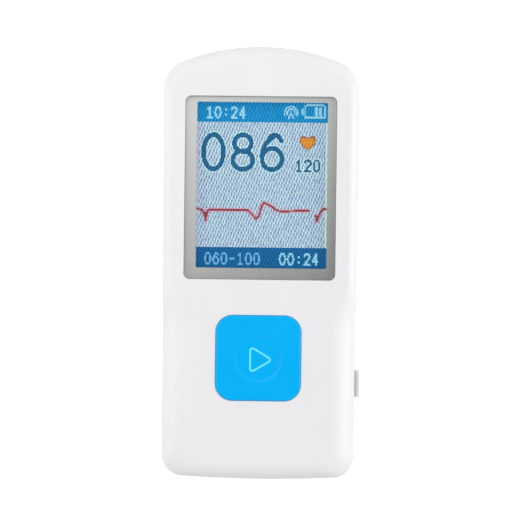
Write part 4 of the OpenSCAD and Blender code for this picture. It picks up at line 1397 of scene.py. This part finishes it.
class MONITOR_OT_stage(Undoable, bpy.types.Operator):
    """Set the table, the soft lights and the camera above the monitor"""
    bl_idname = "monitor.stage"
    bl_label = "Table, lights and camera"

    def execute(self, context):
        t = context.scene.monitor_stage
        if t.show_table:
            self.table(t)
        for name, (place, size, power) in LIGHTS.items():
            lamp = bpy.data.lights.new(f"softbox_{name}", "AREA")
            lamp.shape = "RECTANGLE"
            lamp.size, lamp.size_y = size
            lamp.energy = power
            obj = bpy.data.objects.new(lamp.name, lamp)
            obj.location = place
            obj.rotation_euler = (-Vector(place)).to_track_quat("-Z", "Y").to_euler()
            context.scene.collection.objects.link(obj)
        self.room(context)
        self.camera(context, t)
        context.scene.view_settings.view_transform = "Standard"
        return {"FINISHED"}

    def table(self, t, half=2, height=-5e-5):
        """A pale table just below the monitor's face, brighter to the camera than as a light."""
        top = new_object("table", [(-half, -half, height), (half, -half, height),
                                   (half, half, height), (-half, half, height)], [(0, 1, 2, 3)])
        material, tree, shader = new_material("table_top", tuple(t.table), 0.8, specular=0.1)
        seen = tree.nodes.new("ShaderNodeLightPath").outputs["Is Camera Ray"]
        speck = noise(tree, object_place(tree), 300.0)
        feed(tree, shader, {
            "Emission Color": (1, 1, 1, 1), "Emission Strength": spread(tree, seen, 0, 1, 0, 0.5),
            "Base Color": mixed(tree, speck, shade(t.table, 0.99), tuple(t.table))})
        top.data.materials.append(material)

    def room(self, context):
        """A plain white room, dimmer as a light than it looks, and dim straight overhead."""
        world = bpy.data.worlds.new("white_room")
        world.use_nodes = True
        tree = world.node_tree
        seen = tree.nodes.new("ShaderNodeLightPath").outputs["Is Camera Ray"]
        upward = axes(tree, tree.nodes.new("ShaderNodeTexCoord").outputs["Generated"])["Z"]
        dim = spread(tree, upward, 0.90, 0.97, 0.655, 0.22)
        feed(tree, tree.nodes["Background"], {
            "Color": (1, 1, 1, 1), "Strength": math_node(tree, "MAXIMUM", seen, dim)})
        context.scene.world = world

    def camera(self, context, t):
        """A camera over the monitor, aimed at the middle of the picture, just below its face."""
        eye = bpy.data.cameras.new("camera")
        eye.lens, eye.sensor_width, eye.clip_start = t.lens, 36, 0.01
        obj = bpy.data.objects.new("camera", eye)
        context.scene.collection.objects.link(obj)
        aim = Vector((t.aim_x, t.aim_y, CAD_BOX[1].z - 0.004))
        back = Vector((math.sin(t.side_angle), -math.sin(t.foot_angle), 1.0)).normalized()
        right = Vector((-math.sin(t.roll), math.cos(t.roll), 0)).cross(back).normalized()
        turn = Matrix((right, back.cross(right), back)).transposed()
        obj.matrix_world = Matrix.Translation(aim + back * t.distance) @ turn.to_4x4()
        context.scene.camera = obj


# ---------------------------------------------------------------- panel and registration

OPERATORS = (MONITOR_OT_front_cover, MONITOR_OT_rear_cover, MONITOR_OT_window,
             MONITOR_OT_picture, MONITOR_OT_button, MONITOR_OT_socket, MONITOR_OT_electrodes,
             MONITOR_OT_screws, MONITOR_OT_inner_parts, MONITOR_OT_stage)


class MONITOR_PT_maker(bpy.types.Panel):
    """Lists the monitor's pieces and their settings"""
    bl_idname = "MONITOR_PT_maker"
    bl_label = "Heart monitor"
    bl_space_type = "VIEW_3D"
    bl_region_type = "UI"
    bl_category = "Heart monitor"

    def draw(self, context):
        for operator in OPERATORS:
            self.layout.operator(operator.bl_idname)
        for group in SETTINGS:
            settings = getattr(context.scene, group)
            box = self.layout.box()
            box.label(text=group.replace("monitor_", "").capitalize())
            for prop in own(settings):
                box.prop(settings, prop.identifier)


CLASSES = (*SETTINGS.values(), *OPERATORS, MONITOR_PT_maker)


def register():
    for cls in CLASSES:
        bpy.utils.register_class(cls)
    for name, cls in SETTINGS.items():
        setattr(bpy.types.Scene, name, PointerProperty(type=cls))


def unregister():
    for name in SETTINGS:
        delattr(bpy.types.Scene, name)
    for cls in reversed(CLASSES):
        bpy.utils.unregister_class(cls)


def main():
    register()
    bpy.ops.monitor.stage()
    bpy.ops.monitor.front_cover()
    bpy.ops.monitor.rear_cover()
    bpy.ops.monitor.window()
    bpy.ops.monitor.picture()
    bpy.ops.monitor.button()
    bpy.ops.monitor.socket()
    bpy.ops.monitor.electrodes()
    bpy.ops.monitor.screws()
    bpy.ops.monitor.inner_parts()


if __name__ == "__main__":
    main()
